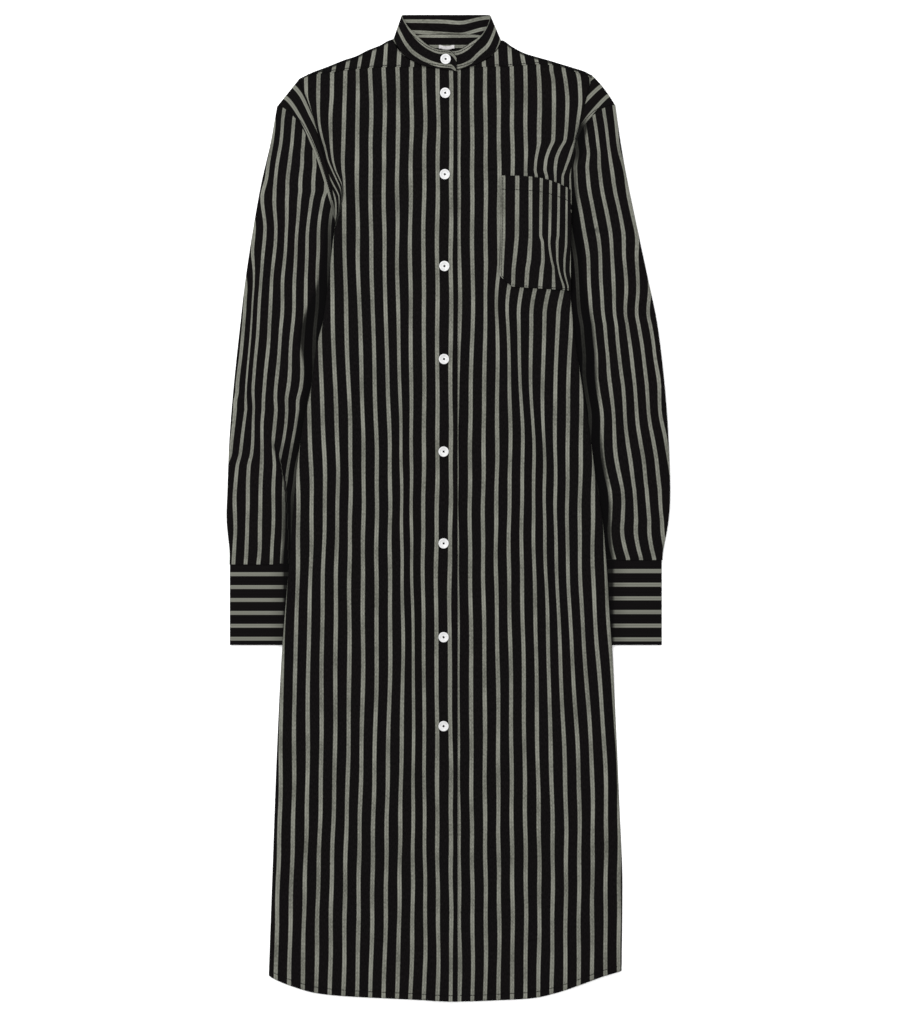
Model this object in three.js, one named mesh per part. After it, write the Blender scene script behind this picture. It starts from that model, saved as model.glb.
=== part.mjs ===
// Striped cotton shirt dress lying flat on its back, in millimetres.
// +X is to the viewer's right, +Y towards the neck, +Z up. The surface that it lies on is Z = 0.
// The wearer's right side is at -X. Every piece of cloth is a wall of its own with open seams between.
import * as THREE from 'three';

// Driving dimensions
const cloth = 1.2;            // wall of one layer of cloth
const air = 1.6;              // between the back and the fronts
const seamGap = 0.4;          // between two pieces along a seam
const layerGap = 0.3;         // between two pieces that lie on each other
const foldRadius = 4.5;       // rounding where a front turns down to the back
const placketEdge = 11.4;     // free edge of the upper front
const underEdge = -13;        // free edge of the lower front, under the placket
const placketStep = 1.7;      // rise of the upper front over the lower one
const stepStart = 16;         // the rise begins this far before the lower front's edge
const stepWidth = 13;
const backInset = 3.4;        // the back stays this far inside the fronts' turned edges
const backYokeSeam = 458;     // seam across the back, up from the middle of the dress
const sleeveCovered = 3.6;    // thickness of a sleeve where the body lies on it
const cuffThickness = 3.7;
const liftHeight = 4.2;       // the body's margins lie this high, on the sleeves
const liftRamp = 26;          // width of the slope beside a sleeve
const liftTop = { full: 372, none: 447 };      // heights where the lift ends towards the shoulders
const liftBottom = { full: -189, none: -255 }; // and below the cuffs
const cuffEnd = -171;         // lower edge of the cuffs
const buttonRadius = 6.4;
const buttonHeight = 2.2;

// Side edges of the body from the hem up to the shoulders: the last eight rows are the armhole seams.
const leftSide = [
  { y: -583.5, x: -224.5 },
  { y: -471, x: -220.5 },
  { y: -283.5, x: -213.5 },
  { y: -182.5, x: -208 },
  { y: -58.5, x: -198 },
  { y: 37.5, x: -190.5 },
  { y: 110, x: -180.5 },
  { y: 150, x: -171.5 },
  { y: 201.5, x: -165 },
  { y: 234, x: -156.5 },
  { y: 271.5, x: -151.5 },
  { y: 335, x: -144 },
  { y: 367.5, x: -138 },
  { y: 397.5, x: -131.5 },
  { y: 419, x: -139 },
  { y: 450, x: -153 },
  { y: 481.5, x: -164 },
  { y: 504, x: -174 },
  { y: 519, x: -181 },
  { y: 537.5, x: -188 },
];
const rightSide = [
  { y: -578, x: 216.5 },
  { y: -471, x: 217.5 },
  { y: -377.5, x: 214 },
  { y: -182.5, x: 205 },
  { y: -58.5, x: 196.5 },
  { y: -15, x: 192.5 },
  { y: 37.5, x: 184 },
  { y: 110, x: 174.5 },
  { y: 150, x: 167.5 },
  { y: 201.5, x: 159.5 },
  { y: 234, x: 155.5 },
  { y: 271.5, x: 152.5 },
  { y: 335, x: 152.5 },
  { y: 377.5, x: 151.5 },
  { y: 412.5, x: 152.5 },
  { y: 445, x: 155 },
  { y: 472.5, x: 159.5 },
  { y: 495, x: 165.5 },
  { y: 512.5, x: 171 },
  { y: 536.5, x: 179.5 },
];

// Hem from side to side
const hem = [
  { x: -224.5, y: -584 },
  { x: -215.5, y: -589 },
  { x: -195.5, y: -597 },
  { x: -165.5, y: -605.5 },
  { x: -135.5, y: -609 },
  { x: -60.5, y: -613 },
  { x: 11.5, y: -616 },
  { x: 74.5, y: -614 },
  { x: 104.5, y: -612 },
  { x: 134.5, y: -605.5 },
  { x: 164.5, y: -595.5 },
  { x: 194.5, y: -584.5 },
  { x: 216.5, y: -578 },
];

// Top edges of the fronts: the front yoke seam, then the neck seam
const leftTop = [
  { x: -188, y: 537.5 },
  { x: -170.5, y: 542 },
  { x: -144, y: 545.5 },
  { x: -103, y: 550 },
  { x: -75.5, y: 551.5 },
  { x: -30.5, y: 551.8 },
  { x: -11.5, y: 548.8 },
  { x: 11.5, y: 545 },
];
const rightTop = [
  { x: -13, y: 547.2 },
  { x: 12, y: 547.4 },
  { x: 28.5, y: 551.4 },
  { x: 76, y: 552.5 },
  { x: 111, y: 555 },
  { x: 133.5, y: 553.5 },
  { x: 158.5, y: 545.5 },
  { x: 179.5, y: 536.5 },
];

// Upper edges of the front yoke strips: the shoulder line, then the neck seam
const leftYoke = [
  { x: -186.5, y: 540.5 },
  { x: -168, y: 546.5 },
  { x: -153, y: 551 },
  { x: -130.5, y: 560 },
  { x: -115.5, y: 565 },
  { x: -100.5, y: 573 },
  { x: -85.5, y: 580 },
  { x: -70.5, y: 588 },
  { x: -67.6, y: 585.5 },
  { x: -63.8, y: 574.5 },
  { x: -56, y: 565 },
  { x: -46, y: 558.7 },
  { x: -35, y: 553.8 },
];
const rightYoke = [
  { x: 34, y: 553.7 },
  { x: 46.5, y: 559.3 },
  { x: 55.4, y: 565.8 },
  { x: 63.6, y: 576 },
  { x: 67, y: 585.5 },
  { x: 79.5, y: 577.5 },
  { x: 94.5, y: 568.5 },
  { x: 109.5, y: 563.5 },
  { x: 124.5, y: 559.8 },
  { x: 139.5, y: 556 },
  { x: 154.5, y: 551.5 },
  { x: 169.5, y: 546 },
  { x: 178, y: 540.5 },
];
const neckTurn = 72;          // beyond this the yoke's upper edge is the shoulder fold
const neckFlat = 60;          // within this it lies flat along the neck seam

// Upper edge of the back yoke
const backTop = [
  { x: -183, y: 534 },
  { x: -168, y: 541.5 },
  { x: -130.5, y: 555.5 },
  { x: -100.5, y: 568.5 },
  { x: -71, y: 580.5 },
  { x: -62, y: 584 },
  { x: -35.5, y: 588.8 },
  { x: 0, y: 590 },
  { x: 32, y: 588.8 },
  { x: 59, y: 585.2 },
  { x: 68, y: 581 },
  { x: 94.5, y: 564.5 },
  { x: 139.5, y: 551.5 },
  { x: 175, y: 534 },
];

// Lower edge of the inner yoke, hidden behind the front of the collar
const innerYokeBottom = [
  { x: -57, y: 579 },
  { x: -45, y: 567 },
  { x: -29, y: 558 },
  { x: -1.5, y: 554 },
  { x: 28, y: 558 },
  { x: 45, y: 567 },
  { x: 56, y: 578 },
];

const innerYokeTop = 589.6;
const innerYokeDip = 4;       // its upper edge is lower at the sides

// Collar band, round from the upper front end over the back to the lower front end.
// seamX, seamY: the neck seam. topX, topY: the free edge. z: height of the band's outer face.
const collarRows = [
  { seamX: 10.5, seamY: 546.2, topX: 10, topY: 562.5, z: 7.6 },
  { seamX: 4.5, seamY: 547.2, topX: 2, topY: 571, z: 7.6 },
  { seamX: -11.5, seamY: 549.6, topX: -14, topY: 573, z: 7.5 },
  { seamX: -29, seamY: 552.6, topX: -26.5, topY: 579, z: 7.2 },
  { seamX: -45.5, seamY: 560, topX: -37.5, topY: 587.5, z: 6.9 },
  { seamX: -55.5, seamY: 567, topX: -46, topY: 596, z: 6.6 },
  { seamX: -62.5, seamY: 576.5, topX: -52.5, topY: 604, z: 6 },
  { seamX: -66.3, seamY: 586, topX: -57, topY: 614.5, z: 3 },
  { seamX: -61.5, seamY: 589, topX: -53, topY: 616.2, z: 0.3 },
  { seamX: -35.5, seamY: 590.2, topX: -29, topY: 616.3, z: 0 },
  { seamX: -1.5, seamY: 591.2, topX: -1.5, topY: 616.3, z: 0 },
  { seamX: 32, seamY: 590.2, topX: 27, topY: 616.3, z: 0 },
  { seamX: 59.5, seamY: 588.8, topX: 49.5, topY: 616.2, z: 0.3 },
  { seamX: 64.6, seamY: 586, topX: 53.5, topY: 614.5, z: 2.8 },
  { seamX: 62, seamY: 577, topX: 51, topY: 605, z: 5.3 },
  { seamX: 54.5, seamY: 567.5, topX: 44, topY: 594, z: 5.6 },
  { seamX: 46, seamY: 561, topX: 37, topY: 587, z: 5.7 },
  { seamX: 28.5, seamY: 552.6, topX: 22, topY: 577, z: 5.8 },
  { seamX: 12, seamY: 548.4, topX: 11, topY: 571.5, z: 5.8 },
  { seamX: -3, seamY: 548.2, topX: -3, topY: 571.5, z: 5.8 },
];
const collarCloth = 1.4;
const collarSteps = 38;

// Sleeves from the armhole seam down to the cuff: the outer edge and the edge under the body.
// bulge: how far the section bows up to the shoulder. full: thickness where it shows.
// cover: how far across, from 0 at the outer edge to 1, the body begins to lie on it.
const leftSleeve = [
  { outerX: -214, outerY: 501.5, innerX: -143.5, innerY: 353, bulge: 17, full: 5.2, cover: 1 },
  { outerX: -222.5, outerY: 454, innerX: -138, innerY: 335, bulge: 12, full: 6, cover: 0.93 },
  { outerX: -234, outerY: 404, innerX: -131.5, innerY: 312.5, bulge: 7, full: 6.6, cover: 0.87 },
  { outerX: -245, outerY: 341.5, innerX: -127.5, innerY: 285, bulge: 3, full: 7, cover: 0.82 },
  { outerX: -253.5, outerY: 285, innerX: -125.5, innerY: 254, bulge: 0, full: 7, cover: 0.78 },
  { outerX: -260, outerY: 229, innerX: -126.5, innerY: 212.5, bulge: 0, full: 7, cover: 0.74 },
  { outerX: -268, outerY: 154, innerX: -131.5, innerY: 150, bulge: 0, full: 7, cover: 0.69 },
  { outerX: -273.5, outerY: 85, innerX: -141.5, innerY: 85, bulge: 0, full: 6.6, cover: 0.67 },
  { outerX: -276, outerY: 22.5, innerX: -149, innerY: 22.5, bulge: 0, full: 6.4, cover: 0.66 },
  { outerX: -277, outerY: -15, innerX: -153.5, innerY: -15, bulge: 0, full: 6, cover: 0.65 },
  { outerX: -273.5, outerY: -52.5, innerX: -158.5, innerY: -52.5, bulge: 0, full: 5.2, cover: 0.64 },
  { outerX: -273.5, outerY: -69.5, innerX: -163, innerY: -69.5, bulge: 0, full: 4.4, cover: 0.64 },
];
const rightSleeve = [
  { outerX: 208.5, outerY: 503, innerX: 158.5, innerY: 377.5, bulge: -27, full: 5.2, cover: 1 },
  { outerX: 215.5, outerY: 454, innerX: 149.5, innerY: 352.5, bulge: -18, full: 6, cover: 0.9 },
  { outerX: 224.5, outerY: 404, innerX: 141, innerY: 329, bulge: -10, full: 6.6, cover: 0.86 },
  { outerX: 237.5, outerY: 341.5, innerX: 131.5, innerY: 291.5, bulge: -4, full: 7, cover: 0.79 },
  { outerX: 249.5, outerY: 285, innerX: 124.5, innerY: 254, bulge: 0, full: 7, cover: 0.75 },
  { outerX: 261, outerY: 229, innerX: 124, innerY: 216.5, bulge: 0, full: 7, cover: 0.74 },
  { outerX: 270, outerY: 154, innerX: 130, innerY: 150, bulge: 0, full: 7, cover: 0.7 },
  { outerX: 275, outerY: 85, innerX: 140, innerY: 85, bulge: 0, full: 6.6, cover: 0.68 },
  { outerX: 277, outerY: 22.5, innerX: 147, innerY: 22.5, bulge: 0, full: 6.4, cover: 0.67 },
  { outerX: 275, outerY: -15, innerX: 151.5, innerY: -15, bulge: 0, full: 6, cover: 0.65 },
  { outerX: 268.5, outerY: -52.5, innerX: 156, innerY: -52.5, bulge: 0, full: 5.2, cover: 0.63 },
  { outerX: 267.5, outerY: -64, innerX: 158.5, innerY: -64, bulge: 0, full: 4.4, cover: 0.63 },
];
const coverStart = 0.24;      // a sleeve thins down this share of its width before the body's edge
const coverWidth = 0.2;
const sleeveSteps = 15;
const bandSteps = 3;
const bandClear = 1;          // between a front's armhole edge and its band
const leftSeamPower = 0.6;    // the left armhole seam bows most near the shoulder
const rightSeamPower = 0.7;

// Soft folds of the fronts. A fold runs from (x1, y1) to (x2, y2) and fades out at its ends.
const bodyFolds = [
  { x1: -52, y1: 220, x2: -46, y2: -420, height: 2.6, width: 11, fade: 120 },
  { x1: -128, y1: 140, x2: -134, y2: -60, height: 2.2, width: 12, fade: 70 },
  { x1: 112, y1: 190, x2: 118, y2: -190, height: 2.6, width: 12, fade: 90 },
  { x1: 140, y1: 130, x2: 146, y2: -60, height: 2, width: 10, fade: 60 },
  { x1: 60, y1: 120, x2: 70, y2: -330, height: 1.6, width: 14, fade: 120 },
  { x1: -96, y1: 20, x2: -104, y2: -500, height: 1.6, width: 15, fade: 120 },
  { x1: -160, y1: 520, x2: -128, y2: 400, height: 3.4, width: 9, fade: 40 },
  { x1: 150, y1: 520, x2: 134, y2: 400, height: 3.2, width: 10, fade: 40 },
  { x1: 116, y1: 352, x2: 146, y2: 276, height: 1.4, width: 10, fade: 25 },
  { x1: 30, y1: -380, x2: 34, y2: -600, height: 1.2, width: 16, fade: 80 },
  { x1: 160, y1: -300, x2: 166, y2: -590, height: 1.4, width: 16, fade: 80 },
  { x1: -176, y1: -260, x2: -180, y2: -580, height: 1.4, width: 16, fade: 80 },
];
// Soft folds of a sleeve. across: 0 at the outer edge, 1 at the inner. from, to: rows down the sleeve.
const sleeveFolds = [
  { across: 0.16, from: 2, to: 8, height: 1.6, width: 0.045 },
  { across: 0.34, from: 1, to: 5, height: 1.2, width: 0.06 },
  { across: 0.47, from: 5.5, to: 8.5, height: 2, width: 0.05 },
  { across: 0.3, from: 7, to: 10.5, height: 1.4, width: 0.05 },
  { across: 0.62, from: 0.5, to: 4, height: 1.6, width: 0.05 },
];

const foldBow = 5;            // how far a fold wanders sideways
const looseness = 0.35;       // height of the soft unevenness all over the fronts

// Pocket on the wearer's left chest, its left edge from the top down to the cut corner
const pocketSide = [
  { y: 276.5, x: 81.5 },
  { y: 281.5, x: 74 },
  { y: 291.5, x: 67.5 },
  { y: 342.5, x: 70 },
  { y: 386, x: 71 },
  { y: 415, x: 68.5 },
];
const pocketRight = 146.5;
const pocketTop = { left: 415, right: 400 };
const pocketBottom = { left: 276.5, right: 271 };
const pocketRaise = 1.1;      // clear of the front under it
const pocketCloth = 1;

// Buttons down the placket, the first on the collar
const buttons = [
  { x: -3.5, y: 560 },
  { x: -4, y: 518 },
  { x: -4.5, y: 416.5 },
  { x: -5, y: 302 },
  { x: -5.5, y: 186 },
  { x: -6, y: 70.5 },
  { x: -6, y: -44 },
  { x: -6, y: -161 },
  { x: -6, y: -272 },
];

// Neck label, plain
const label = { x1: -12, x2: 7.5, y1: 574.6, y2: 580, thickness: 1 };

const stripedCloth = new THREE.MeshStandardMaterial({ color: 0x1b191b, roughness: 0.85, metalness: 0 });
const buttonWhite = new THREE.MeshStandardMaterial({ color: 0xeceae2, roughness: 0.35, metalness: 0 });
const labelGrey = new THREE.MeshStandardMaterial({ color: 0xb9bab2, roughness: 0.8, metalness: 0 });

const dress = new THREE.Group();

function clamp01(t) {
  return Math.min(1, Math.max(0, t));
}

function smoothStep(t) {
  const c = clamp01(t);
  return c * c * (3 - 2 * c);
}

function mix(a, b, t) {
  return a + (b - a) * t;
}

// Smooth value of one column of a table against another, with no overshoot, held at both ends
function lookUp(rows, key, value, at) {
  const n = rows.length;
  if (at <= rows[0][key]) return rows[0][value];
  if (at >= rows[n - 1][key]) return rows[n - 1][value];
  let i = 0;
  while (at > rows[i + 1][key]) i += 1;
  const slope = (k) => (rows[k + 1][value] - rows[k][value]) / (rows[k + 1][key] - rows[k][key]);
  const tangent = (k) => {
    if (k === 0) return slope(0);
    if (k === n - 1) return slope(n - 2);
    const before = slope(k - 1);
    const after = slope(k);
    return before * after <= 0 ? 0 : (2 * before * after) / (before + after);
  };
  const span = rows[i + 1][key] - rows[i][key];
  const t = (at - rows[i][key]) / span;
  const rest = 1 - t;
  const start = rows[i][value] * (1 + 2 * t) + tangent(i) * span * t;
  const end = rows[i + 1][value] * (1 + 2 * rest) - tangent(i + 1) * span * rest;
  return start * rest * rest + end * t * t;
}

// Smooth row of a table at a fractional row number, column by column
function rowAt(rows, position) {
  const at = Math.min(rows.length - 1, Math.max(0, position));
  const i = Math.min(rows.length - 2, Math.floor(at));
  const t = at - i;
  const row = {};
  for (const name of Object.keys(rows[0])) {
    const p0 = rows[Math.max(0, i - 1)][name];
    const p1 = rows[i][name];
    const p2 = rows[i + 1][name];
    const p3 = rows[Math.min(rows.length - 1, i + 2)][name];
    const linear = (p2 - p0) * t;
    const square = (2 * p0 - 5 * p1 + 4 * p2 - p3) * t * t;
    const cube = (3 * p1 - p0 - 3 * p2 + p3) * t * t * t;
    row[name] = p1 + 0.5 * (linear + square + cube);
  }
  return row;
}

// A wall of cloth: a grid of outer points, and the same points moved in by its thickness.
// ring: the first column follows the last. flip: the outer face is on the other side of the grid.
// turnedDown: says which grid points are on an edge that stands on what is below it.
// innerAt: gives the inner points of a tube, which are its own rings made smaller.
function clothWall(name, material, columns, rows, pointAt, options = {}) {
  const { thickness = cloth, ring = false, flip = false, turnedDown = () => false, innerAt } = options;
  const wide = ring ? columns : columns + 1;
  const grid = [];
  for (let j = 0; j <= rows; j += 1) {
    for (let i = 0; i < wide; i += 1) grid.push(pointAt(i, j));
  }
  const at = (i, j) => grid[j * wide + i];
  const normalAt = (i, j) => {
    const before = ring ? (i + wide - 1) % wide : Math.max(0, i - 1);
    const after = ring ? (i + 1) % wide : Math.min(wide - 1, i + 1);
    const across = new THREE.Vector3().subVectors(at(after, j), at(before, j));
    const along = new THREE.Vector3().subVectors(at(i, Math.min(rows, j + 1)), at(i, Math.max(0, j - 1)));
    const normal = across.cross(along);
    if (turnedDown(i, j)) normal.z = 0;
    return normal.normalize().multiplyScalar(flip ? -1 : 1);
  };
  const positions = [];
  for (const p of grid) positions.push(p.x, p.y, p.z);
  for (let j = 0; j <= rows; j += 1) {
    for (let i = 0; i < wide; i += 1) {
      const moved = () => at(i, j).clone().addScaledVector(normalAt(i, j), -thickness);
      const inner = innerAt ? innerAt(i, j) : moved();
      positions.push(inner.x, inner.y, inner.z);
    }
  }
  const layer = grid.length;
  const indices = [];
  const quad = (a, b, c, d) => {
    if (flip) indices.push(a, c, b, a, d, c);
    else indices.push(a, b, c, a, c, d);
  };
  for (let j = 0; j < rows; j += 1) {
    for (let i = 0; i < columns; i += 1) {
      const next = (i + 1) % wide;
      const a = j * wide + i;
      const b = j * wide + next;
      const c = (j + 1) * wide + next;
      const d = (j + 1) * wide + i;
      quad(a, b, c, d);
      quad(layer + a, layer + d, layer + c, layer + b);
    }
  }
  for (let i = 0; i < columns; i += 1) {
    const next = (i + 1) % wide;
    const last = rows * wide;
    quad(i, layer + i, layer + next, next);
    quad(last + next, layer + last + next, layer + last + i, last + i);
  }
  if (!ring) {
    for (let j = 0; j < rows; j += 1) {
      const left = j * wide;
      const right = left + columns;
      quad(left + wide, layer + left + wide, layer + left, left);
      quad(right, layer + right, layer + right + wide, right + wide);
    }
  }
  const geometry = new THREE.BufferGeometry();
  geometry.setAttribute('position', new THREE.Float32BufferAttribute(positions, 3));
  geometry.setIndex(indices);
  geometry.computeVertexNormals();
  const mesh = new THREE.Mesh(geometry, material);
  mesh.name = name;
  dress.add(mesh);
}

// Height of the body's margins where they lie on the sleeves and cuffs
function lift(x, y) {
  const left = x < 0;
  const rows = left ? leftSleeve : rightSleeve;
  const inner = Math.abs(sleeveInner(rows, y));
  const across = smoothStep((Math.abs(x) - inner + liftRamp) / liftRamp);
  const above = smoothStep((liftTop.none - y) / (liftTop.none - liftTop.full));
  const below = smoothStep((y - liftBottom.none) / (liftBottom.full - liftBottom.none));
  return liftHeight * across * above * below;
}

// X of a sleeve's hidden edge at height y; a cuff goes on straight down from it
function sleeveInner(rows, y) {
  const first = rows[0];
  const last = rows[rows.length - 1];
  if (y >= first.innerY) return first.innerX;
  if (y <= last.innerY) return last.innerX;
  let i = 0;
  while (y < rows[i + 1].innerY) i += 1;
  const t = (rows[i].innerY - y) / (rows[i].innerY - rows[i + 1].innerY);
  return mix(rows[i].innerX, rows[i + 1].innerX, t);
}

function foldHeight(x, y) {
  let total = 0;
  for (const fold of bodyFolds) {
    const t = (y - fold.y1) / (fold.y2 - fold.y1);
    const bow = foldBow * Math.sin(Math.PI * t + fold.x1);
    const off = (x - mix(fold.x1, fold.x2, t) - bow) / fold.width;
    const length = Math.abs(fold.y2 - fold.y1);
    const ends = smoothStep((t * length) / fold.fade) * smoothStep(((1 - t) * length) / fold.fade);
    total += fold.height * ends * Math.exp(-off * off);
  }
  return total;
}

// Upper face of the fronts
function bodyHeight(x, y) {
  const wave = looseness * Math.sin(x / 31 + 0.8) * Math.cos(y / 83);
  return lift(x, y) + cloth + air + cloth + wave + foldHeight(x, y);
}

function sideEdge(side, y) {
  return side < 0 ? lookUp(leftSide, 'y', 'x', y) : lookUp(rightSide, 'y', 'x', y);
}

// Share of the full height at a distance in from a turned edge
function turned(distance, radius) {
  const rest = 1 - clamp01(distance / radius);
  return Math.sqrt(1 - rest * rest);
}

// Distances from a turned edge of the grid lines that round it
function turnSteps(radius) {
  return [0, 0.08, 0.3, 0.62, 1].map((share) => share * radius);
}

function upperFrontStep(x) {
  return placketStep * smoothStep((x - underEdge + stepStart) / stepWidth);
}

// One front. side: -1 is the wearer's right, which lies on top at the placket.
function front(name, side, innerEdge, topRows) {
  const turns = turnSteps(foldRadius);
  const flat = 15;
  const columns = turns.length - 1 + flat;
  const lowerRows = 17;
  const rows = 29;
  const upperShare = 0.3;
  const columnX = (i, y) => {
    const edge = sideEdge(side, y);
    if (i < turns.length) return edge - side * turns[i];
    return mix(edge - side * foldRadius, innerEdge, (i - turns.length + 1) / flat);
  };
  const rowShare = (j) => {
    if (j <= lowerRows) return (j / lowerRows) * (1 - upperShare);
    return 1 - upperShare + ((j - lowerRows) / (rows - lowerRows)) * upperShare;
  };
  const sideRows = side < 0 ? leftSide : rightSide;
  const hemY = sideRows[0].y;
  const shoulderY = sideRows[sideRows.length - 1].y;
  clothWall(name, stripedCloth, columns, rows, (i, j) => {
    const bottom = lookUp(hem, 'x', 'y', columnX(i, hemY));
    const top = lookUp(topRows, 'x', 'y', columnX(i, shoulderY));
    const y = mix(bottom, top, rowShare(j));
    const x = columnX(i, y);
    const distance = Math.abs(x - sideEdge(side, y));
    const low = lift(x, y);
    const step = side < 0 ? upperFrontStep(x) : 0;
    const z = low + (bodyHeight(x, y) - low) * turned(distance, foldRadius) + step;
    return new THREE.Vector3(x, y, z);
  }, { flip: side > 0, turnedDown: (i) => i === 0 });
}

// Strip of the yoke between a front and the shoulder line
function frontYoke(name, topRows, bottomRows, splits) {
  const first = topRows[0].x;
  const last = topRows[topRows.length - 1].x;
  const middle = splits.at;
  const columns = splits.before + splits.after;
  const turns = turnSteps(1);
  const flat = 3;
  const rows = turns.length - 1 + flat;
  const columnX = (i) => (i <= splits.before
    ? mix(first, middle, i / splits.before)
    : mix(middle, last, (i - splits.before) / splits.after));
  clothWall(name, stripedCloth, columns, rows, (i, j) => {
    const x = columnX(i);
    const top = lookUp(topRows, 'x', 'y', x);
    const bottom = lookUp(bottomRows, 'x', 'y', x) + seamGap;
    const radius = Math.min(foldRadius, 0.7 * (top - bottom));
    const k = rows - j;
    const y = k < turns.length
      ? top - turns[k] * radius
      : mix(top - radius, bottom, (k - turns.length + 1) / flat);
    const shoulder = smoothStep((Math.abs(x) - neckFlat) / (neckTurn - neckFlat));
    const share = mix(1, turned(top - y, radius), shoulder);
    return new THREE.Vector3(x, y, bodyHeight(x, y) * share);
  }, { turnedDown: (i, j) => j === rows && Math.abs(columnX(i)) > neckTurn - 0.1 });
}

// The back below its yoke: its underside is the grid, flat in the middle and lifted over the sleeves
function back() {
  const margin = 3;
  const ramp = 3;
  const leastMargin = 12;
  const centre = 5;
  const columns = 2 * (margin + ramp) + centre;
  const lowerRows = 14;
  const armholeRows = 8;
  const rows = lowerRows + armholeRows;
  const armholeShare = 0.13;
  const rowShare = (j) => (j <= lowerRows
    ? (j / lowerRows) * (1 - armholeShare)
    : 1 - armholeShare * (1 - (j - lowerRows) / armholeRows));
  const halfLine = (side, y, k) => {
    const edge = Math.abs(sideEdge(side, y)) - backInset;
    const sleeveRows = side < 0 ? leftSleeve : rightSleeve;
    const inner = Math.min(Math.abs(sleeveInner(sleeveRows, y)), edge - leastMargin);
    if (k <= margin) return mix(edge, inner, k / margin);
    return inner - ((k - margin) / ramp) * liftRamp;
  };
  const columnX = (i, y) => {
    const half = margin + ramp;
    if (i <= half) return -halfLine(-1, y, i);
    if (i >= columns - half) return halfLine(1, y, columns - i);
    return mix(-halfLine(-1, y, half), halfLine(1, y, half), (i - half) / centre);
  };
  clothWall('back', stripedCloth, columns, rows, (i, j) => {
    const bottom = lookUp(hem, 'x', 'y', columnX(i, hem[0].y)) + 3;
    const y = mix(bottom, backYokeSeam - seamGap, rowShare(j));
    const x = columnX(i, y);
    return new THREE.Vector3(x, y, lift(x, y));
  }, { flip: true });
}

function backYoke() {
  const columns = 22;
  const rows = 6;
  clothWall('back_yoke', stripedCloth, columns, rows, (i, j) => {
    const u = i / columns;
    const spanX = (y) => mix(sideEdge(-1, y) + backInset, sideEdge(1, y) - backInset, u);
    const top = lookUp(backTop, 'x', 'y', spanX(leftSide[leftSide.length - 1].y));
    const y = mix(backYokeSeam, top, j / rows);
    const x = spanX(y);
    return new THREE.Vector3(x, y, lift(x, y));
  }, { flip: true });
}

function innerYoke() {
  const columns = 10;
  const rows = 3;
  const level = 2 * cloth + layerGap;
  const first = innerYokeBottom[0].x;
  const last = innerYokeBottom[innerYokeBottom.length - 1].x;
  clothWall('inner_yoke', stripedCloth, columns, rows, (i, j) => {
    const x = mix(first, last, i / columns);
    const bottom = lookUp(innerYokeBottom, 'x', 'y', x);
    const top = innerYokeTop - innerYokeDip * (x / last) ** 2;
    return new THREE.Vector3(x, mix(bottom, top, j / rows), level);
  });
}

function neckLabel() {
  const bottom = 2 * (cloth + layerGap);
  const geometry = new THREE.BoxGeometry(label.x2 - label.x1, label.y2 - label.y1, label.thickness);
  const mesh = new THREE.Mesh(geometry, labelGrey);
  mesh.name = 'neck_label';
  const midX = (label.x1 + label.x2) / 2;
  const midY = (label.y1 + label.y2) / 2;
  mesh.position.set(midX, midY, bottom + label.thickness / 2);
  dress.add(mesh);
}

function collar() {
  const rows = 4;
  clothWall('collar', stripedCloth, collarSteps, rows, (i, j) => {
    const row = rowAt(collarRows, (i / collarSteps) * (collarRows.length - 1));
    const t = j / rows;
    const z = Math.max(0, row.z);
    return new THREE.Vector3(mix(row.seamX, row.topX, t), mix(row.seamY, row.topY, t), z);
  }, { thickness: collarCloth, flip: true });
}

// Points round a flattened tube, from the outer edge's underside up, over the top and back below
const ringArc = 3;
const ringTop = 14;
const ringBottom = 5;
const ringCount = 2 * ringArc + ringTop + ringBottom;

// across: 0 to 1 from the outer edge. level: 0 underside, 1 top. inset: 0 outside, the wall inside.
function ringStep(k, width, edgeThickness, inset) {
  const outerArc = edgeThickness[0] / 2 - inset;
  const innerArc = edgeThickness[1] / 2 - inset;
  const outer = (inset + outerArc) / width;
  const inner = 1 - (inset + innerArc) / width;
  if (k <= ringArc) {
    const turn = -Math.PI / 2 + (Math.PI * k) / ringArc;
    const across = (inset + outerArc * (1 - Math.cos(turn))) / width;
    return { across, level: (1 + Math.sin(turn)) / 2 };
  }
  if (k <= ringArc + ringTop) {
    return { across: mix(outer, inner, (k - ringArc) / ringTop), level: 1 };
  }
  if (k <= 2 * ringArc + ringTop) {
    const turn = Math.PI / 2 - (Math.PI * (k - ringArc - ringTop)) / ringArc;
    const across = 1 - (inset + innerArc * (1 - Math.cos(turn))) / width;
    return { across, level: (1 + Math.sin(turn)) / 2 };
  }
  return { across: mix(inner, outer, (k - 2 * ringArc - ringTop) / ringBottom), level: 0 };
}

function sleeveThickness(row, across) {
  return mix(row.full, sleeveCovered, smoothStep((across - row.cover + coverStart) / coverWidth));
}

// Place on the armhole seam or a lower section of a sleeve
function sectionPlan(row, across, power) {
  const width = Math.hypot(row.innerX - row.outerX, row.innerY - row.outerY);
  const dx = (row.innerX - row.outerX) / width;
  const dy = (row.innerY - row.outerY) / width;
  const bow = row.bulge * Math.sin(Math.PI * clamp01(across) ** power);
  return {
    x: mix(row.outerX, row.innerX, across) - dy * bow,
    y: mix(row.outerY, row.innerY, across) + dx * bow,
    width,
  };
}

function sleeveFoldHeight(position, across, side) {
  let total = 0;
  for (const fold of sleeveFolds) {
    const start = fold.from + (side < 0 ? 0 : 0.6);
    const t = (position - start) / (fold.to - fold.from);
    const ends = smoothStep(t * 3) * smoothStep((1 - t) * 3);
    const drift = 0.03 * Math.sin(3 * position + side);
    const off = (across - fold.across - drift) / fold.width;
    total += fold.height * ends * Math.exp(-off * off);
  }
  return total;
}

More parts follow.
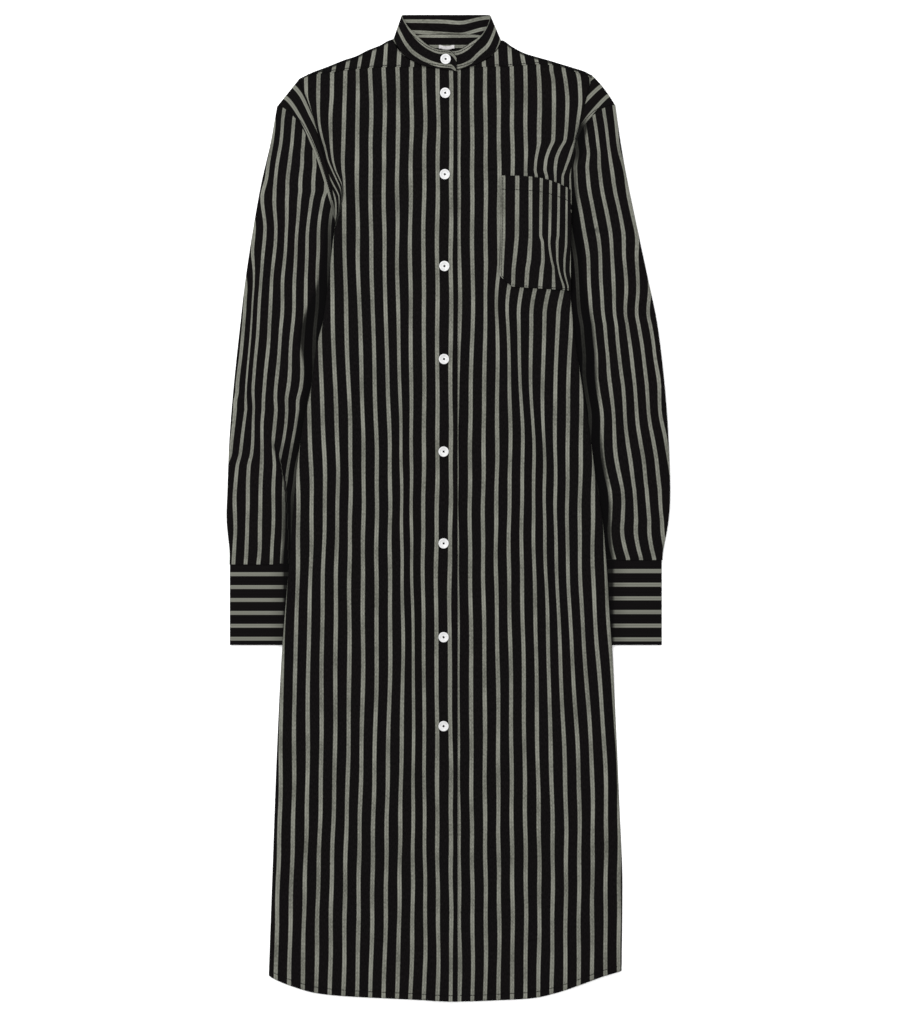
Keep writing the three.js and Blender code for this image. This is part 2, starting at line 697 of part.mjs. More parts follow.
// A flattened tube of cloth. sectionAt(j) gives a section's width, the thickness at its two edges,
// planAt(across) for its place and thicknessAt(across, level).
function flatTube(name, side, rows, sectionAt) {
  const pointAt = (inset) => (k, j) => {
    const section = sectionAt(j);
    const step = ringStep(k, section.width, section.edges, inset);
    const plan = section.planAt(step.across);
    const top = section.thicknessAt(step.across, step.level);
    const z = inset + (top - 2 * inset) * step.level;
    return new THREE.Vector3(plan.x, plan.y, z);
  };
  const options = { ring: true, flip: side < 0, innerAt: pointAt(cloth) };
  clothWall(name, stripedCloth, ringCount, rows, pointAt(0), options);
}

function sleeve(name, side, table, power) {
  flatTube(name, side, sleeveSteps, (j) => {
    const position = (j / sleeveSteps) * (table.length - 1);
    const row = rowAt(table, position);
    return {
      width: sectionPlan(row, 0, power).width,
      edges: [sleeveThickness(row, 0), sleeveThickness(row, 1)],
      planAt: (across) => sectionPlan(row, across, power),
      thicknessAt: (across, level) =>
        sleeveThickness(row, across) + level * sleeveFoldHeight(position, across, side),
    };
  });
}

// Crosswise band between the front's armhole edge and the sleeve
function armholeBand(name, side, table, power, frontTop, frontLow) {
  const row = table[0];
  const width = sectionPlan(row, 0, power).width;
  flatTube(name, side, bandSteps, (j) => ({
    width,
    edges: [sleeveThickness(row, 0), sleeveThickness(row, 1)],
    planAt: (across) => {
      const seam = sectionPlan(row, across, power);
      const frontY = mix(frontTop, frontLow, across);
      const frontX = sideEdge(side, frontY) + side * bandClear;
      const length = Math.hypot(seam.x - frontX, seam.y - frontY);
      const share = mix(0, 1 - seamGap / length, j / bandSteps);
      return { x: mix(frontX, seam.x, share), y: mix(frontY, seam.y, share) };
    },
    thicknessAt: (across) => sleeveThickness(row, across),
  }));
}

function cuff(name, side, outerX, innerX, topY) {
  const rows = 4;
  flatTube(name, side, rows, (j) => ({
    width: Math.abs(innerX - outerX),
    edges: [cuffThickness, cuffThickness],
    planAt: (across) => ({ x: mix(outerX, innerX, across), y: mix(topY, cuffEnd, j / rows) }),
    thicknessAt: () => cuffThickness,
  }));
}

function pocket() {
  const columns = 9;
  const rows = 11;
  clothWall('chest_pocket', stripedCloth, columns, rows, (i, j) => {
    const u = i / columns;
    const v = j / rows;
    const leftY = mix(pocketBottom.left, pocketTop.left, v);
    const y = mix(leftY, mix(pocketBottom.right, pocketTop.right, v), u);
    const x = mix(lookUp(pocketSide, 'y', 'x', leftY), pocketRight, u);
    return new THREE.Vector3(x, y, bodyHeight(x, y) + pocketRaise + pocketCloth);
  }, { thickness: pocketCloth });
}

function highestUnder(button, heightAt) {
  let highest = 0;
  for (let k = 0; k < 12; k += 1) {
    const angle = (2 * Math.PI * k) / 12;
    const x = button.x + buttonRadius * Math.cos(angle);
    const y = button.y + buttonRadius * Math.sin(angle);
    highest = Math.max(highest, heightAt(x, y));
  }
  return highest;
}

// A round button with a raised rim and a dished face
function button(index, place) {
  const onCollar = index === 0;
  const base = onCollar
    ? collarRows[0].z + layerGap
    : highestUnder(place, (x, y) => bodyHeight(x, y) + upperFrontStep(x)) + layerGap;
  const profile = [
    new THREE.Vector2(0, 0),
    new THREE.Vector2(buttonRadius - 0.7, 0),
    new THREE.Vector2(buttonRadius, 0.9),
    new THREE.Vector2(buttonRadius - 0.7, buttonHeight),
    new THREE.Vector2(buttonRadius - 2, buttonHeight - 0.3),
    new THREE.Vector2(buttonRadius - 3, buttonHeight - 0.8),
    new THREE.Vector2(0, buttonHeight - 0.9),
  ];
  const geometry = new THREE.LatheGeometry(profile, 14);
  geometry.rotateX(Math.PI / 2);
  const mesh = new THREE.Mesh(geometry, buttonWhite);
  mesh.name = onCollar ? 'button_collar' : `button_${index}`;
  mesh.position.set(place.x, place.y, base);
  dress.add(mesh);
}

back();
backYoke();
innerYoke();
neckLabel();
front('front_left', 1, underEdge, rightTop);
front('front_right', -1, placketEdge, leftTop);
frontYoke('front_yoke_right', leftYoke, leftTop, { at: -72, before: 8, after: 7 });
frontYoke('front_yoke_left', rightYoke, rightTop, { at: 72, before: 7, after: 8 });
armholeBand('armhole_band_right', -1, leftSleeve, leftSeamPower, 537, 367);
armholeBand('armhole_band_left', 1, rightSleeve, rightSeamPower, 536, 378);
sleeve('sleeve_right', -1, leftSleeve, leftSeamPower);
sleeve('sleeve_left', 1, rightSleeve, rightSeamPower);
cuff('cuff_right', -1, -273, -166.5, -70);
cuff('cuff_left', 1, 266.5, 161, -64.5);
collar();
pocket();
buttons.forEach((place, index) => button(index, place));

export default dress;
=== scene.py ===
import math

import bpy
import numpy as np
from mathutils import Matrix, Vector


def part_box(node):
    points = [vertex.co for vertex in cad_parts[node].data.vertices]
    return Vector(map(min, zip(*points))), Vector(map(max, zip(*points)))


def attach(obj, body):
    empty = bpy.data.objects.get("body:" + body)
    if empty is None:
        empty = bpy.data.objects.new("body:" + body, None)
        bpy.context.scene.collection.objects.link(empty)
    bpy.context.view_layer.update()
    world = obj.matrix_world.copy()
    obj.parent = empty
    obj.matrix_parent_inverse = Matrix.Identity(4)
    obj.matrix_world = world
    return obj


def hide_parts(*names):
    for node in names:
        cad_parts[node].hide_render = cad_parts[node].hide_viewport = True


# Striped cotton shirt dress, flat on its back and seen from straight above.
# Sizes are in millimetres until a mesh is made. +X is to the viewer's right, +Y towards the neck.
# Left and right are the viewer's in the names of tables and values, and the wearer's in the
# names of pieces. side is -1 at the viewer's left and 1 at the right.

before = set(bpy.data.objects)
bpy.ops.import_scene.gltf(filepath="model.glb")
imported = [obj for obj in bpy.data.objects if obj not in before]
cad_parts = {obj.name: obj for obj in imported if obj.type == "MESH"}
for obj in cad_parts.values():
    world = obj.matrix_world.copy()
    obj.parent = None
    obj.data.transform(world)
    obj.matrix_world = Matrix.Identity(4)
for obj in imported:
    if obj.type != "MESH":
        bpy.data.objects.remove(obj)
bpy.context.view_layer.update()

MM = 0.001

# Driving dimensions of the garment, the same as its solids have
cloth = 1.2
air = 1.6
layer_gap = 0.3
fold_radius = 4.5
placket_edge = 11.4
under_edge = -13
placket_step = 1.7
step_start = 16
step_width = 13
back_inset = 3.4
back_yoke_seam = 458
sleeve_covered = 3.6
cuff_thickness = 3.7
lift_height = 4.2
lift_ramp = 26
lift_top_full = 372
lift_top_none = 447
lift_bottom_full = -189
lift_bottom_none = -255
cuff_end = -171
button_radius = 6.4
button_height = 2.2

# Driving dimensions of the shown cloth
shown_cloth = 0.6            # thickness of one layer
row_step = 3.4               # between the points of a front
column_step = 2.4
front_length = 1165          # that the rows of a front are counted from
turn_count = 7               # points round a turned edge
edge_density = 0.35          # the columns are closest beside the side edge
hem_width = 9
hem_rise = 0.35
stripe_pitch = 17.05
stripe_width = 5.2
seam_overlap = 0.8           # shown cloth goes this far under its neighbour at a seam
first_left_stripe = 2.7      # X of the stripe nearest the upper front's free edge
first_right_stripe = 12.2    # X of the first stripe of the other front
back_stripe = -4             # X of one stripe of the back
back_yoke_stripe = 5         # Y that the back yoke's stripes are counted from
yoke_shift = 1.4             # the front yoke's stripes lie this far beside those below them
yoke_ridge = 0.35            # rise of the front yoke's lower seam
cuff_shade = 205             # the cuffs lie in the shade of the body from this X on inwards
weave_pitch = 0.55           # of the threads in the cotton's relief

# Points round a flattened tube: each turned edge, the upper side, the underside
ring_arc = 6
ring_top = 56
ring_bottom = 18

# Buttons, stitches and label
hole_radius = 0.66
hole_spread = 0.95
rim_width = 1.5
dish_width = 1.1
dish_depth = 0.75
stitch_length = 2.5
stitch_spacing = 3.3
thread_radius = 0.36
stitch_clear = 0.12          # a stitch's middle lies this far above the cloth
stitch_inset = 3.2           # from an armhole seam to its stitches
label_down = 2.6             # it hangs a little lower than its solid


def table(columns, *rows):
    """The columns of a short table by name."""
    return dict(zip(columns.split(), np.array(rows, float).T))


def records(columns, *rows):
    """A list of short records that have the same named values."""
    return [dict(zip(columns.split(), row)) for row in rows]


# Side edges of the body from the hem up to the shoulders, the upper ones along the armholes
left_side = table(
    "y x",
    (-583.5, -224.5), (-471, -220.5), (-283.5, -213.5), (-182.5, -208), (-58.5, -198),
    (37.5, -190.5), (110, -180.5), (150, -171.5), (201.5, -165), (234, -156.5),
    (271.5, -151.5), (335, -144), (355, -141.5), (379, -142), (396.5, -145), (421.5, -151.2),
    (449, -159), (482, -168), (504, -175), (519, -181), (535, -188),
)
right_side = table(
    "y x",
    (-578, 216.5), (-471, 217.5), (-377.5, 214), (-182.5, 205), (-58.5, 196.5),
    (-15, 192.5), (37.5, 184), (110, 174.5), (150, 167.5), (201.5, 159.5),
    (234, 155.5), (271.5, 152.5), (335, 153.5), (377.5, 154), (412.5, 154.5),
    (445, 157.5), (472.5, 163.5), (495, 169.5), (512.5, 174), (537.5, 180),
)
hem = table(
    "x y",
    (-224.5, -584), (-215.5, -589), (-195.5, -597), (-165.5, -605.5), (-135.5, -609),
    (-60.5, -613), (11.5, -616), (74.5, -614), (104.5, -612), (134.5, -605.5),
    (164.5, -595.5), (194.5, -584.5), (216.5, -578),
)
# Top edges of the fronts: the front yoke seam, then the neck seam
left_top = table(
    "x y",
    (-188, 535), (-170.5, 541.4), (-144, 545.5), (-103, 550), (-75.5, 551.5),
    (-30.5, 551.8), (-11.5, 548.8), (11.5, 545),
)
right_top = table(
    "x y",
    (-13, 547.2), (12, 547.4), (28.5, 551.4), (76, 552.5), (111, 555),
    (133.5, 553.5), (158.5, 545.5), (180, 537.5),
)
# Upper edges of the front yoke strips
left_yoke = table(
    "x y",
    (-186.5, 536.4), (-168, 545.4), (-153, 551), (-130.5, 560), (-115.5, 565),
    (-100.5, 572.5), (-85.5, 578.4), (-71, 585.4), (-68.4, 585.2), (-63.8, 574.5),
    (-56, 565), (-46, 558.7), (-35, 553.8),
)
right_yoke = table(
    "x y",
    (34, 553.7), (46.5, 559.3), (55.4, 565.8), (63.2, 576), (66.2, 584.8),
    (79.5, 576.8), (94.5, 568.9), (109.5, 564.2), (124.5, 560), (139.5, 555.3),
    (154.5, 550.8), (169.5, 546), (178.5, 541.3),
)
neck_turn = 72
neck_flat = 60
back_top = table(
    "x y",
    (-183, 534), (-168, 541.5), (-130.5, 555.5), (-100.5, 568.5), (-73, 585),
    (-66, 587.4), (-35.5, 588.8), (0, 590), (32, 588.8), (61, 586.8),
    (67.5, 583.5), (94.5, 564.5), (139.5, 551.5), (175, 534),
)
inner_yoke_bottom = table(
    "x y",
    (-57, 579), (-45, 567), (-29, 558), (-1.5, 554), (28, 558), (45, 567), (56, 578),
)
inner_yoke_top = 589.6
inner_yoke_dip = 4

# Collar band from the upper front end over the back to the lower front end
collar_rows = table(
    "seam_x seam_y top_x top_y z",
    (10.5, 546.2, 10, 562.5, 7.6), (4.5, 547.2, 2, 571, 7.6), (-11.5, 549.6, -14, 573, 7.5),
    (-29, 552.6, -26.5, 579, 7.2), (-45.5, 560, -37.5, 587.5, 6.9),
    (-55.5, 567, -46, 596, 6.6), (-62.5, 576.5, -52.5, 604, 6),
    (-68.3, 586, -58.2, 614.5, 3), (-62.5, 589, -54, 616.2, 0.3),
    (-35.5, 590.2, -29, 616.3, 0), (-1.5, 591.2, -1.5, 616.3, 0), (32, 590.2, 27, 616.3, 0),
    (59.5, 588.8, 48.5, 616.2, 0.3), (64.6, 586, 52.5, 614.5, 2.8), (61.5, 577, 50, 605, 5.3),
    (54.5, 567.5, 44, 594, 5.6), (46, 561, 37, 587, 5.7), (28.5, 552.6, 22, 577, 5.8),
    (12, 548.4, 11, 571.5, 5.8), (-3, 548.2, -3, 571.5, 5.8),
)
collar_cloth = 1.4
# From the free edge to the two stripes outside the collar, by the rows above
collar_stripes = table(
    "row upper lower",
    (0, 3.4, 20.4), (3, 3.3, 20.4), (4, 2.1, 20.4), (5, 0.7, 19.2), (6, -0.9, 16.6), (7, -1.8, 15),
    (13, -2.2, 15), (14, -2, 15.4), (15, -1.6, 16.5), (16, -0.5, 17), (16.5, 1.6, 18.4),
    (17, 3.4, 21), (19, 3.4, 20.4),
)
inside_stripe = 8.4          # from the free edge to the upper stripe on the collar's inner side
inside_spacing = 13.2        # to the lower one

# Sections of the sleeves from the armhole seam down to the cuff. bulge: how far a section bows.
# full: thickness where nothing lies on it. cover: share of the width out to the body's edge.
left_sleeve = table(
    "outer_x outer_y inner_x inner_y bulge full cover",
    (-214, 501.5, -139, 350, 17, 5.2, 1), (-222.5, 454, -138, 335, 12, 6, 0.93),
    (-234, 404, -131.5, 312.5, 7, 6.6, 0.87), (-245, 341.5, -127.5, 285, 3, 7, 0.82),
    (-253.5, 285, -125.5, 254, 0, 7, 0.78), (-260, 229, -126.5, 212.5, 0, 7, 0.74),
    (-268, 154, -131.5, 150, 0, 7, 0.69), (-273.5, 85, -141.5, 85, 0, 6.6, 0.67),
    (-276, 22.5, -149, 22.5, 0, 6.4, 0.66), (-277, -15, -153.5, -15, 0, 6, 0.65),
    (-273.5, -52.5, -158.5, -52.5, 0, 5.2, 0.64), (-273.5, -69.5, -163, -69.5, 0, 4.4, 0.64),
)
right_sleeve = table(
    "outer_x outer_y inner_x inner_y bulge full cover",
    (208.5, 503, 153, 373, -27, 5.2, 1), (215.5, 454, 149.5, 352.5, -18, 6, 0.9),
    (224.5, 404, 141, 329, -10, 6.6, 0.86), (237.5, 341.5, 131.5, 291.5, -4, 7, 0.79),
    (249.5, 285, 124.5, 254, 0, 7, 0.75), (261, 229, 124, 216.5, 0, 7, 0.74),
    (270, 154, 130, 150, 0, 7, 0.7), (275, 85, 140, 85, 0, 6.6, 0.68),
    (277, 22.5, 147, 22.5, 0, 6.4, 0.67), (275, -15, 151.5, -15, 0, 6, 0.65),
    (268.5, -52.5, 156, -52.5, 0, 5.2, 0.63), (267.5, -64, 158.5, -64, 0, 4.4, 0.63),
)
cover_start = 0.24
cover_width = 0.2
band_under = 1.6             # a band's edge goes this far in under the front
left_seam_power = 0.6
right_seam_power = 0.7

# Soft folds of the fronts, the same as the solids have
body_folds = records(
    "x1 y1 x2 y2 height width fade",
    (-52, 220, -46, -420, 2.6, 11, 120), (-128, 140, -134, -60, 2.2, 12, 70),
    (112, 190, 118, -190, 2.6, 12, 90), (140, 130, 146, -60, 2, 10, 60),
    (60, 120, 70, -330, 1.6, 14, 120), (-96, 20, -104, -500, 1.6, 15, 120),
    (-160, 520, -128, 400, 3.4, 9, 40), (150, 520, 134, 400, 3.2, 10, 40),
    (116, 352, 146, 276, 1.4, 10, 25), (30, -380, 34, -600, 1.2, 16, 80),
    (160, -300, 166, -590, 1.4, 16, 80), (-176, -260, -180, -580, 1.4, 16, 80),
)
fold_bow = 5
looseness = 0.35

# Finer creases that only the shown cloth has
fine_folds = records(
    "x1 y1 x2 y2 height width fade",
    (-146, 470, -120, 380, 0.9, 4, 30), (-134, 480, -124, 330, 0.7, 5, 40),
    (-150, 300, -90, 250, 0.6, 6, 25), (148, 250, 100, 215, 0.6, 6, 20),
    (66, 262, 88, 90, 0.9, 7, 60), (92, 60, 124, -130, 0.7, 7, 60),
    (-30, -60, -24, -250, 0.5, 8, 60), (-150, -40, -140, -240, 0.6, 7, 60),
    (-76, -250, -80, -560, 0.5, 9, 90), (100, -260, 96, -560, 0.5, 9, 90),
    (30, 430, 36, 330, 0.4, 7, 40), (-86, 480, -84, 330, 0.4, 8, 50),
)

# Cloth taken up by the folds of each front, which brings its stripes closer together.
# away: from the placket at the two ends (y1 the upper). rise, fall: how far it takes to grow and fade.
left_takes = records(
    "away1 y1 away2 y2 take width rise fall",
    (69, 330, 28, -640, 9.7, 14, 330, 520), (35, 430, 227, -300, 2.3, 19, 120, 200),
)
right_takes = records(
    "away1 y1 away2 y2 take width rise fall",
    (37, 310, 123, 0, 11.6, 24, 70, 110), (99, 110, 140, -330, 14.5, 35, 110, 300),
    (25, 60, 95, -420, 1.7, 29, 140, 200),
)
# How far a whole front is pulled over at each height, and how tightly the cloth is laid
left_drift = table(
    "y pull",
    (-620, 0), (-540, 1.2), (-365, 0.4), (-240, -0.9), (-115, -0.9), (10, -0.2), (135, 0.1),
    (260, 1), (322, 0), (447, 0.6), (485, 1.6), (560, 0.6),
)
right_drift = table(
    "y pull",
    (-620, 0), (-540, -0.6), (-365, -0.5), (-240, 0.5), (-115, 1.5), (10, 1.6), (135, 1.9),
    (260, -2.2), (322, -1.5), (447, -0.5), (485, 0), (560, 0),
)
left_tightness = 1.013
right_tightness = 1.02

# X of the outer stripes where the cloth is gathered beside each armhole. On the left the gathers
# end below in a sharp fold, where several stripes meet.
left_gathers = table(
    "y k8 k9 k10 k11 k12",
    (341, -146, -146.5, -147, -147.5, -148), (354, -139.8, -140.3, -140.8, -141.3, -141.8),
    (369, -135.1, -135.7, -136.3, -136.9, -140), (379, -133, -133.8, -134.6, -136, -140.3),
    (389, -131.4, -132.4, -133.2, -136.4, -142), (396.5, -131, -132.2, -134, -139.6, -145.5),
    (402.5, -130.9, -132.6, -136, -143, -149), (410, -131, -135.6, -139.5, -147, -153),
    (421.5, -131.8, -141.1, -144.6, -153, -160), (435, -132.1, -144.8, -150.3, -158, -166),
    (449, -131.6, -146.4, -153.6, -162.4, -172), (464, -131.1, -147, -158.3, -165.5, -178),
    (482.5, -130.4, -147.4, -162, -168.9, -184), (502.5, -129.9, -146.5, -162.8, -174.3, -190),
    (515, -129.5, -145.5, -162.8, -177.5, -192), (548, -128.6, -145.1, -161.8, -178, -194),
)
right_gathers = table(
    "y k7 k8 k9 k10",
    (385, 123.3, 133.6, 142.4, 152.6), (412.5, 123.3, 133.6, 142.4, 152.6),
    (422.5, 120.8, 133.3, 145.8, 153.9), (435, 122, 134.3, 150.5, 159.5),
    (447.5, 126, 138.9, 154.4, 164.5), (460, 131, 145.8, 158.5, 169.5),
    (485, 131.6, 148, 161.9, 177), (509, 131.8, 148.6, 164.8, 180),
    (531.5, 131.4, 146.4, 163.9, 178.6), (548, 128.6, 143.6, 160.5, 177.3),
)
left_fold_top = 408

# Soft folds of a sleeve, the same as the solids have
sleeve_folds = records(
    "across start end height width",
    (0.16, 2, 8, 1.6, 0.045), (0.34, 1, 5, 1.2, 0.06), (0.47, 5.5, 8.5, 2, 0.05),
    (0.3, 7, 10.5, 1.4, 0.05), (0.62, 0.5, 4, 1.6, 0.05),
)

# Stripes of the sleeves. first: from the outer edge to a stripe. spacing: between the stripes
# further in, closer than on flat cloth because of the soft folds.
left_sleeve_stripes = table(
    "y first spacing",
    (-70, 35.3, 16.8), (-27.4, 41, 16.5), (10, 41.6, 16.3), (35, 41.3, 15), (60, 41, 13),
    (85, 41, 13.4), (122.6, 39, 14.1), (160, 38.6, 15.2), (197.6, 37.5, 14.6),
    (235, 36.8, 14.1), (272.6, 34, 14.4), (310, 31.5, 13.9), (347.6, 28.4, 13.3),
    (385, 20.6, 15.1), (397.6, 18.5, 16), (422.6, 15.1, 16), (447.6, 12.8, 14.6), (485.8, 10, 13.8),
)
right_sleeve_stripes = table(
    "y first spacing",
    (-63.6, 11.3, 16.3), (-28.6, 21.9, 16.6), (10, 27.5, 15.6), (53.9, 32.3, 16.3),
    (85, 35.8, 15.8), (122.6, 37.3, 14.8), (160, 37.8, 15.3), (197.6, 37.5, 14.4),
    (235, 37.6, 14.4), (272.6, 30.8, 14.9), (310, 24.4, 15.1), (347.6, 18.4, 16.4),
    (385, 18.8, 15.9), (422.6, 16.6, 15.3), (447.6, 16.5, 13.1), (479, 15.6, 13.1),
)
# Folds along a sleeve: beyond is how far outside the first stripe, take the cloth they hide
left_sleeve_creases = records(
    "beyond y1 y2 take width rise fall",
    (6, 500, 385, 5, 4, 20, 30), (22, 330, 95, 13, 6, 60, 50),
)
# X of the stripes on the lower part of the sleeve at the viewer's left, where a fold runs down
# from the middle to the body's edge. f, g and h are beyond the fold and before starts their row.
left_low_stripes = table(
    "y a b c d e hidden before f g h fold",
    (-72, -285, -268.9, -254.3, -238.3, -221.1, -208, -231, -218, -205.9, -195.5, -199.3),
    (-44, -283, -266.9, -251.8, -235.5, -219.9, -207, -231, -218, -205.9, -195.5, -200),
    (-27.4, -282, -265.9, -250.8, -234.9, -219, -206.8, -231, -218, -205.9, -195.5, -200.5),
    (10, -282, -266.3, -250.1, -234.5, -217.8, -205.9, -231, -218, -205.9, -195.5, -202.4),
    (31, -281, -265.6, -250.1, -233.9, -217.3, -205.3, -229, -216, -202.8, -193, -204),
    (52, -278, -264.3, -249.6, -233.4, -216.8, -204.8, -225.6, -212.5, -199.6, -190, -208.5),
    (67.5, -272, -260.4, -246, -233.4, -218, -206, -222.1, -209, -196.8, -186, -213.5),
    (85, -269.9, -257.6, -244, -233.1, -218.6, -206.6, -218.6, -205.5, -194.3, -181, -219),
    (103, -267.6, -254.8, -243.1, -232.6, -216.8, -205, -216.8, -203.5, -191.4, -178, -216),
    (122.6, -265.8, -252.1, -242.8, -230.9, -215.1, -203, -215.1, -202.1, -188.6, -174, -215),
)
# Those rows hold below left_low_start and go over into the rest up to left_low_top. The fold
# has painted shade below left_fold_start.
left_low_top = 150
left_low_start = 125
left_fold_start = 88
# Painted shade of a short crease across the sleeve at the viewer's right, below its armhole
elbow_crease_shade = dict(y=346, x1=170, x2=203, dark=0.7, width=2.2, lean=0.06)
# Width and darkness of the painted shade in the deep fold between each sleeve and the body
left_valley_shade = table(
    "y width dark",
    (-69, 9, 0.93), (0, 9, 0.93), (50, 6, 0.8), (85, 6, 0.8), (115, 7, 0.9), (166, 8, 0.93),
    (191, 13, 0.93), (229, 22, 0.93), (260, 17, 0.93), (300, 11, 0.9), (345, 9, 0.8), (372, 6, 0.5),
    (392, 4, 0),
)
right_valley_shade = table(
    "y width dark",
    (-66, 8, 0.93), (-40, 8, 0.93), (10, 10, 0.93), (60, 10, 0.93), (110, 13, 0.93),
    (150, 18, 0.93), (255, 19, 0.9), (300, 15, 0.85),
    (328, 12, 0.9), (346, 9, 0.9), (364, 6, 0.9), (381, 4.5, 0.88), (428, 3, 0.6),
    (440, 9, 0.88), (480, 9, 0.9), (500, 6, 0.6),
)

# Pocket on the wearer's left chest
pocket_side = table(
    "y x",
    (276.5, 79.5), (281.5, 73.5), (291.5, 64.2), (297, 63.8), (342.5, 65.3), (386, 66), (415, 65.8),
)
pocket_right = 152.5
pocket_top_left = 415
pocket_top_drop = 18
pocket_bottom_left = 276.5
pocket_bottom_right = 271
pocket_raise = 1.1
pocket_stripes = table(
    "y k0 k1 k2 k3 k4 k5 k6 k7",
    (276, 66, 80.5, 97.1, 114.5, 131.5, 144.4, 149, 155),
    (297, 66.6, 81.1, 98.5, 116.6, 131.6, 137.5, 144.5, 152.5),
    (311, 67.2, 82.5, 100.6, 118.6, 128.4, 135.4, 145, 153),
    (331, 68, 84.6, 102, 118, 125.6, 135.4, 147.1, 153.8),
    (341, 68.4, 85.4, 102.7, 115.2, 126.3, 136.7, 147.2, 154),
    (415, 68.4, 86, 102.7, 116.1, 127.8, 138.1, 147.9, 154.2),
)
pocket_cloth = 1
pocket_crease = dict(x1=113, y1=352, x2=151, y2=270, height=1.2, width=3, fade=14)


def smooth_step(t):
    """0 to 1 with soft ends."""
    c = np.clip(t, 0, 1)
    return c * c * (3 - 2 * c)


def mix(a, b, t):
    """a where t is 0, b where it is 1."""
    return a + (b - a) * t


def look_up(rows, key, value, at):
    """Smooth value of one column of a table against another, with no overshoot."""
    x, y = rows[key], rows[value]
    slope = np.diff(y) / np.diff(x)
    before, after = slope[:-1], slope[1:]
    same = before * after > 0
    inner = np.where(same, 2 * before * after / np.where(same, before + after, 1), 0)
    tangent = np.concatenate([slope[:1], inner, slope[-1:]])
    at = np.clip(at, x[0], x[-1])
    i = np.clip(np.searchsorted(x, at, side="right") - 1, 0, len(x) - 2)
    span = x[i + 1] - x[i]
    t = (at - x[i]) / span
    rest = 1 - t
    start = y[i] * (1 + 2 * t) + tangent[i] * span * t
    end = y[i + 1] * (1 + 2 * rest) - tangent[i + 1] * span * rest
    return start * rest**2 + end * t**2


def row_at(rows, position):
    """Smooth row of a table at fractional row numbers, column by column."""
    count = len(next(iter(rows.values())))
    at = np.clip(position, 0, count - 1)
    i = np.minimum(count - 2, np.floor(at)).astype(int)
    t = at - i
    row = {}
    for name, p in rows.items():
        p0, p1 = p[np.maximum(0, i - 1)], p[i]
        p2, p3 = p[i + 1], p[np.minimum(count - 1, i + 2)]
        cube = (3 * p1 - p0 - 3 * p2 + p3) * t**3
        square = (2 * p0 - 5 * p1 + 4 * p2 - p3) * t**2
        row[name] = p1 + 0.5 * ((p2 - p0) * t + square + cube)
    return row


def side_edge(side, y):
    """X of the body's side edge at height y."""
    return look_up(left_side if side < 0 else right_side, "y", "x", y)


def sleeve_inner(side, y):
    """X of a sleeve's hidden edge at height y."""
    rows = left_sleeve if side < 0 else right_sleeve
    return np.interp(y, rows["inner_y"][::-1], rows["inner_x"][::-1])


def lift(x, y):
    """Height of the body's margins where they lie on the sleeves and cuffs."""
    inner = np.abs(np.where(x < 0, sleeve_inner(-1, y), sleeve_inner(1, y)))
    across = smooth_step((np.abs(x) - inner + lift_ramp) / lift_ramp)
    above = smooth_step((lift_top_none - y) / (lift_top_none - lift_top_full))
    below = smooth_step((y - lift_bottom_none) / (lift_bottom_full - lift_bottom_none))
    return lift_height * across * above * below


def fold_height(folds, x, y):
    """Height that a list of soft folds adds at a point."""
    total = 0
    for fold in folds:
        t = (y - fold["y1"]) / (fold["y2"] - fold["y1"])
        bow = fold_bow * np.sin(np.pi * t + fold["x1"])
        off = (x - mix(fold["x1"], fold["x2"], t) - bow) / fold["width"]
        length = abs(fold["y2"] - fold["y1"])
        ends = smooth_step(t * length / fold["fade"])
        ends = ends * smooth_step((1 - t) * length / fold["fade"])
        total = total + fold["height"] * ends * np.exp(-off * off)
    return total


def rumple(x, y):
    """Fine unevenness of soft cotton."""
    slow = np.sin(x / 17 + 1.3 * np.sin(y / 61)) * np.cos(y / 47 + 0.7 * np.sin(x / 29))
    quick = np.sin(x / 7.3 + y / 23 + 1.1) * np.cos(y / 13.7 - x / 31)
    return 0.16 * slow + 0.05 * quick


def body_height(x, y):
    """Height of the fronts' upper side."""
    wave = looseness * np.sin(x / 31 + 0.8) * np.cos(y / 83)
    base = lift(x, y) + cloth + air + cloth + wave
    return base + fold_height(body_folds, x, y) + fold_height(fine_folds, x, y) + rumple(x, y)


def turned(distance, radius):
    """Share of the full height at a distance in from a turned edge."""
    rest = 1 - np.clip(distance / radius, 0, 1)
    return np.sqrt(1 - rest * rest)


def turn_steps(radius, count):
    """Distances in from a turned edge, closest at the edge."""
    angles = np.linspace(0, np.pi / 2, count)
    return radius * (1 - np.cos(angles))


def upper_front_step(x):
    """Rise of the upper front over the lower front's edge."""
    return placket_step * smooth_step((x - under_edge + step_start) / step_width)


def cloth_taken(folds, away, y):
    """Cloth hidden in a front's folds between the placket and a point, in millimetres."""
    total = 0
    for fold in folds:
        t = (fold["y1"] - y) / (fold["y1"] - fold["y2"])
        length = fold["y1"] - fold["y2"]
        rise = smooth_step(t * length / fold["rise"])
        fall = smooth_step((1 - t) * length / fold["fall"])
        place = (away - mix(fold["away1"], fold["away2"], t)) / fold["width"]
        total = total + fold["take"] * rise * fall * 0.5 * (1 + np.tanh(1.3 * place))
    return total


def wander(x, y):
    """Small sideways drift of the stripes where the cloth isn't laid quite straight."""
    slow = 0.55 * np.sin(y / 53 + 1.7 * np.sin(x / 41) + 0.6)
    quick = 0.3 * np.sin(y / 17 + 2.3 * np.sin(x / 19) + 1.3 * np.sin(y / 71))
    hem_lean = -2 * smooth_step((-500 - y) / 90) * np.exp(-(((x - 18) / 16) ** 2))
    return slow + quick + hem_lean


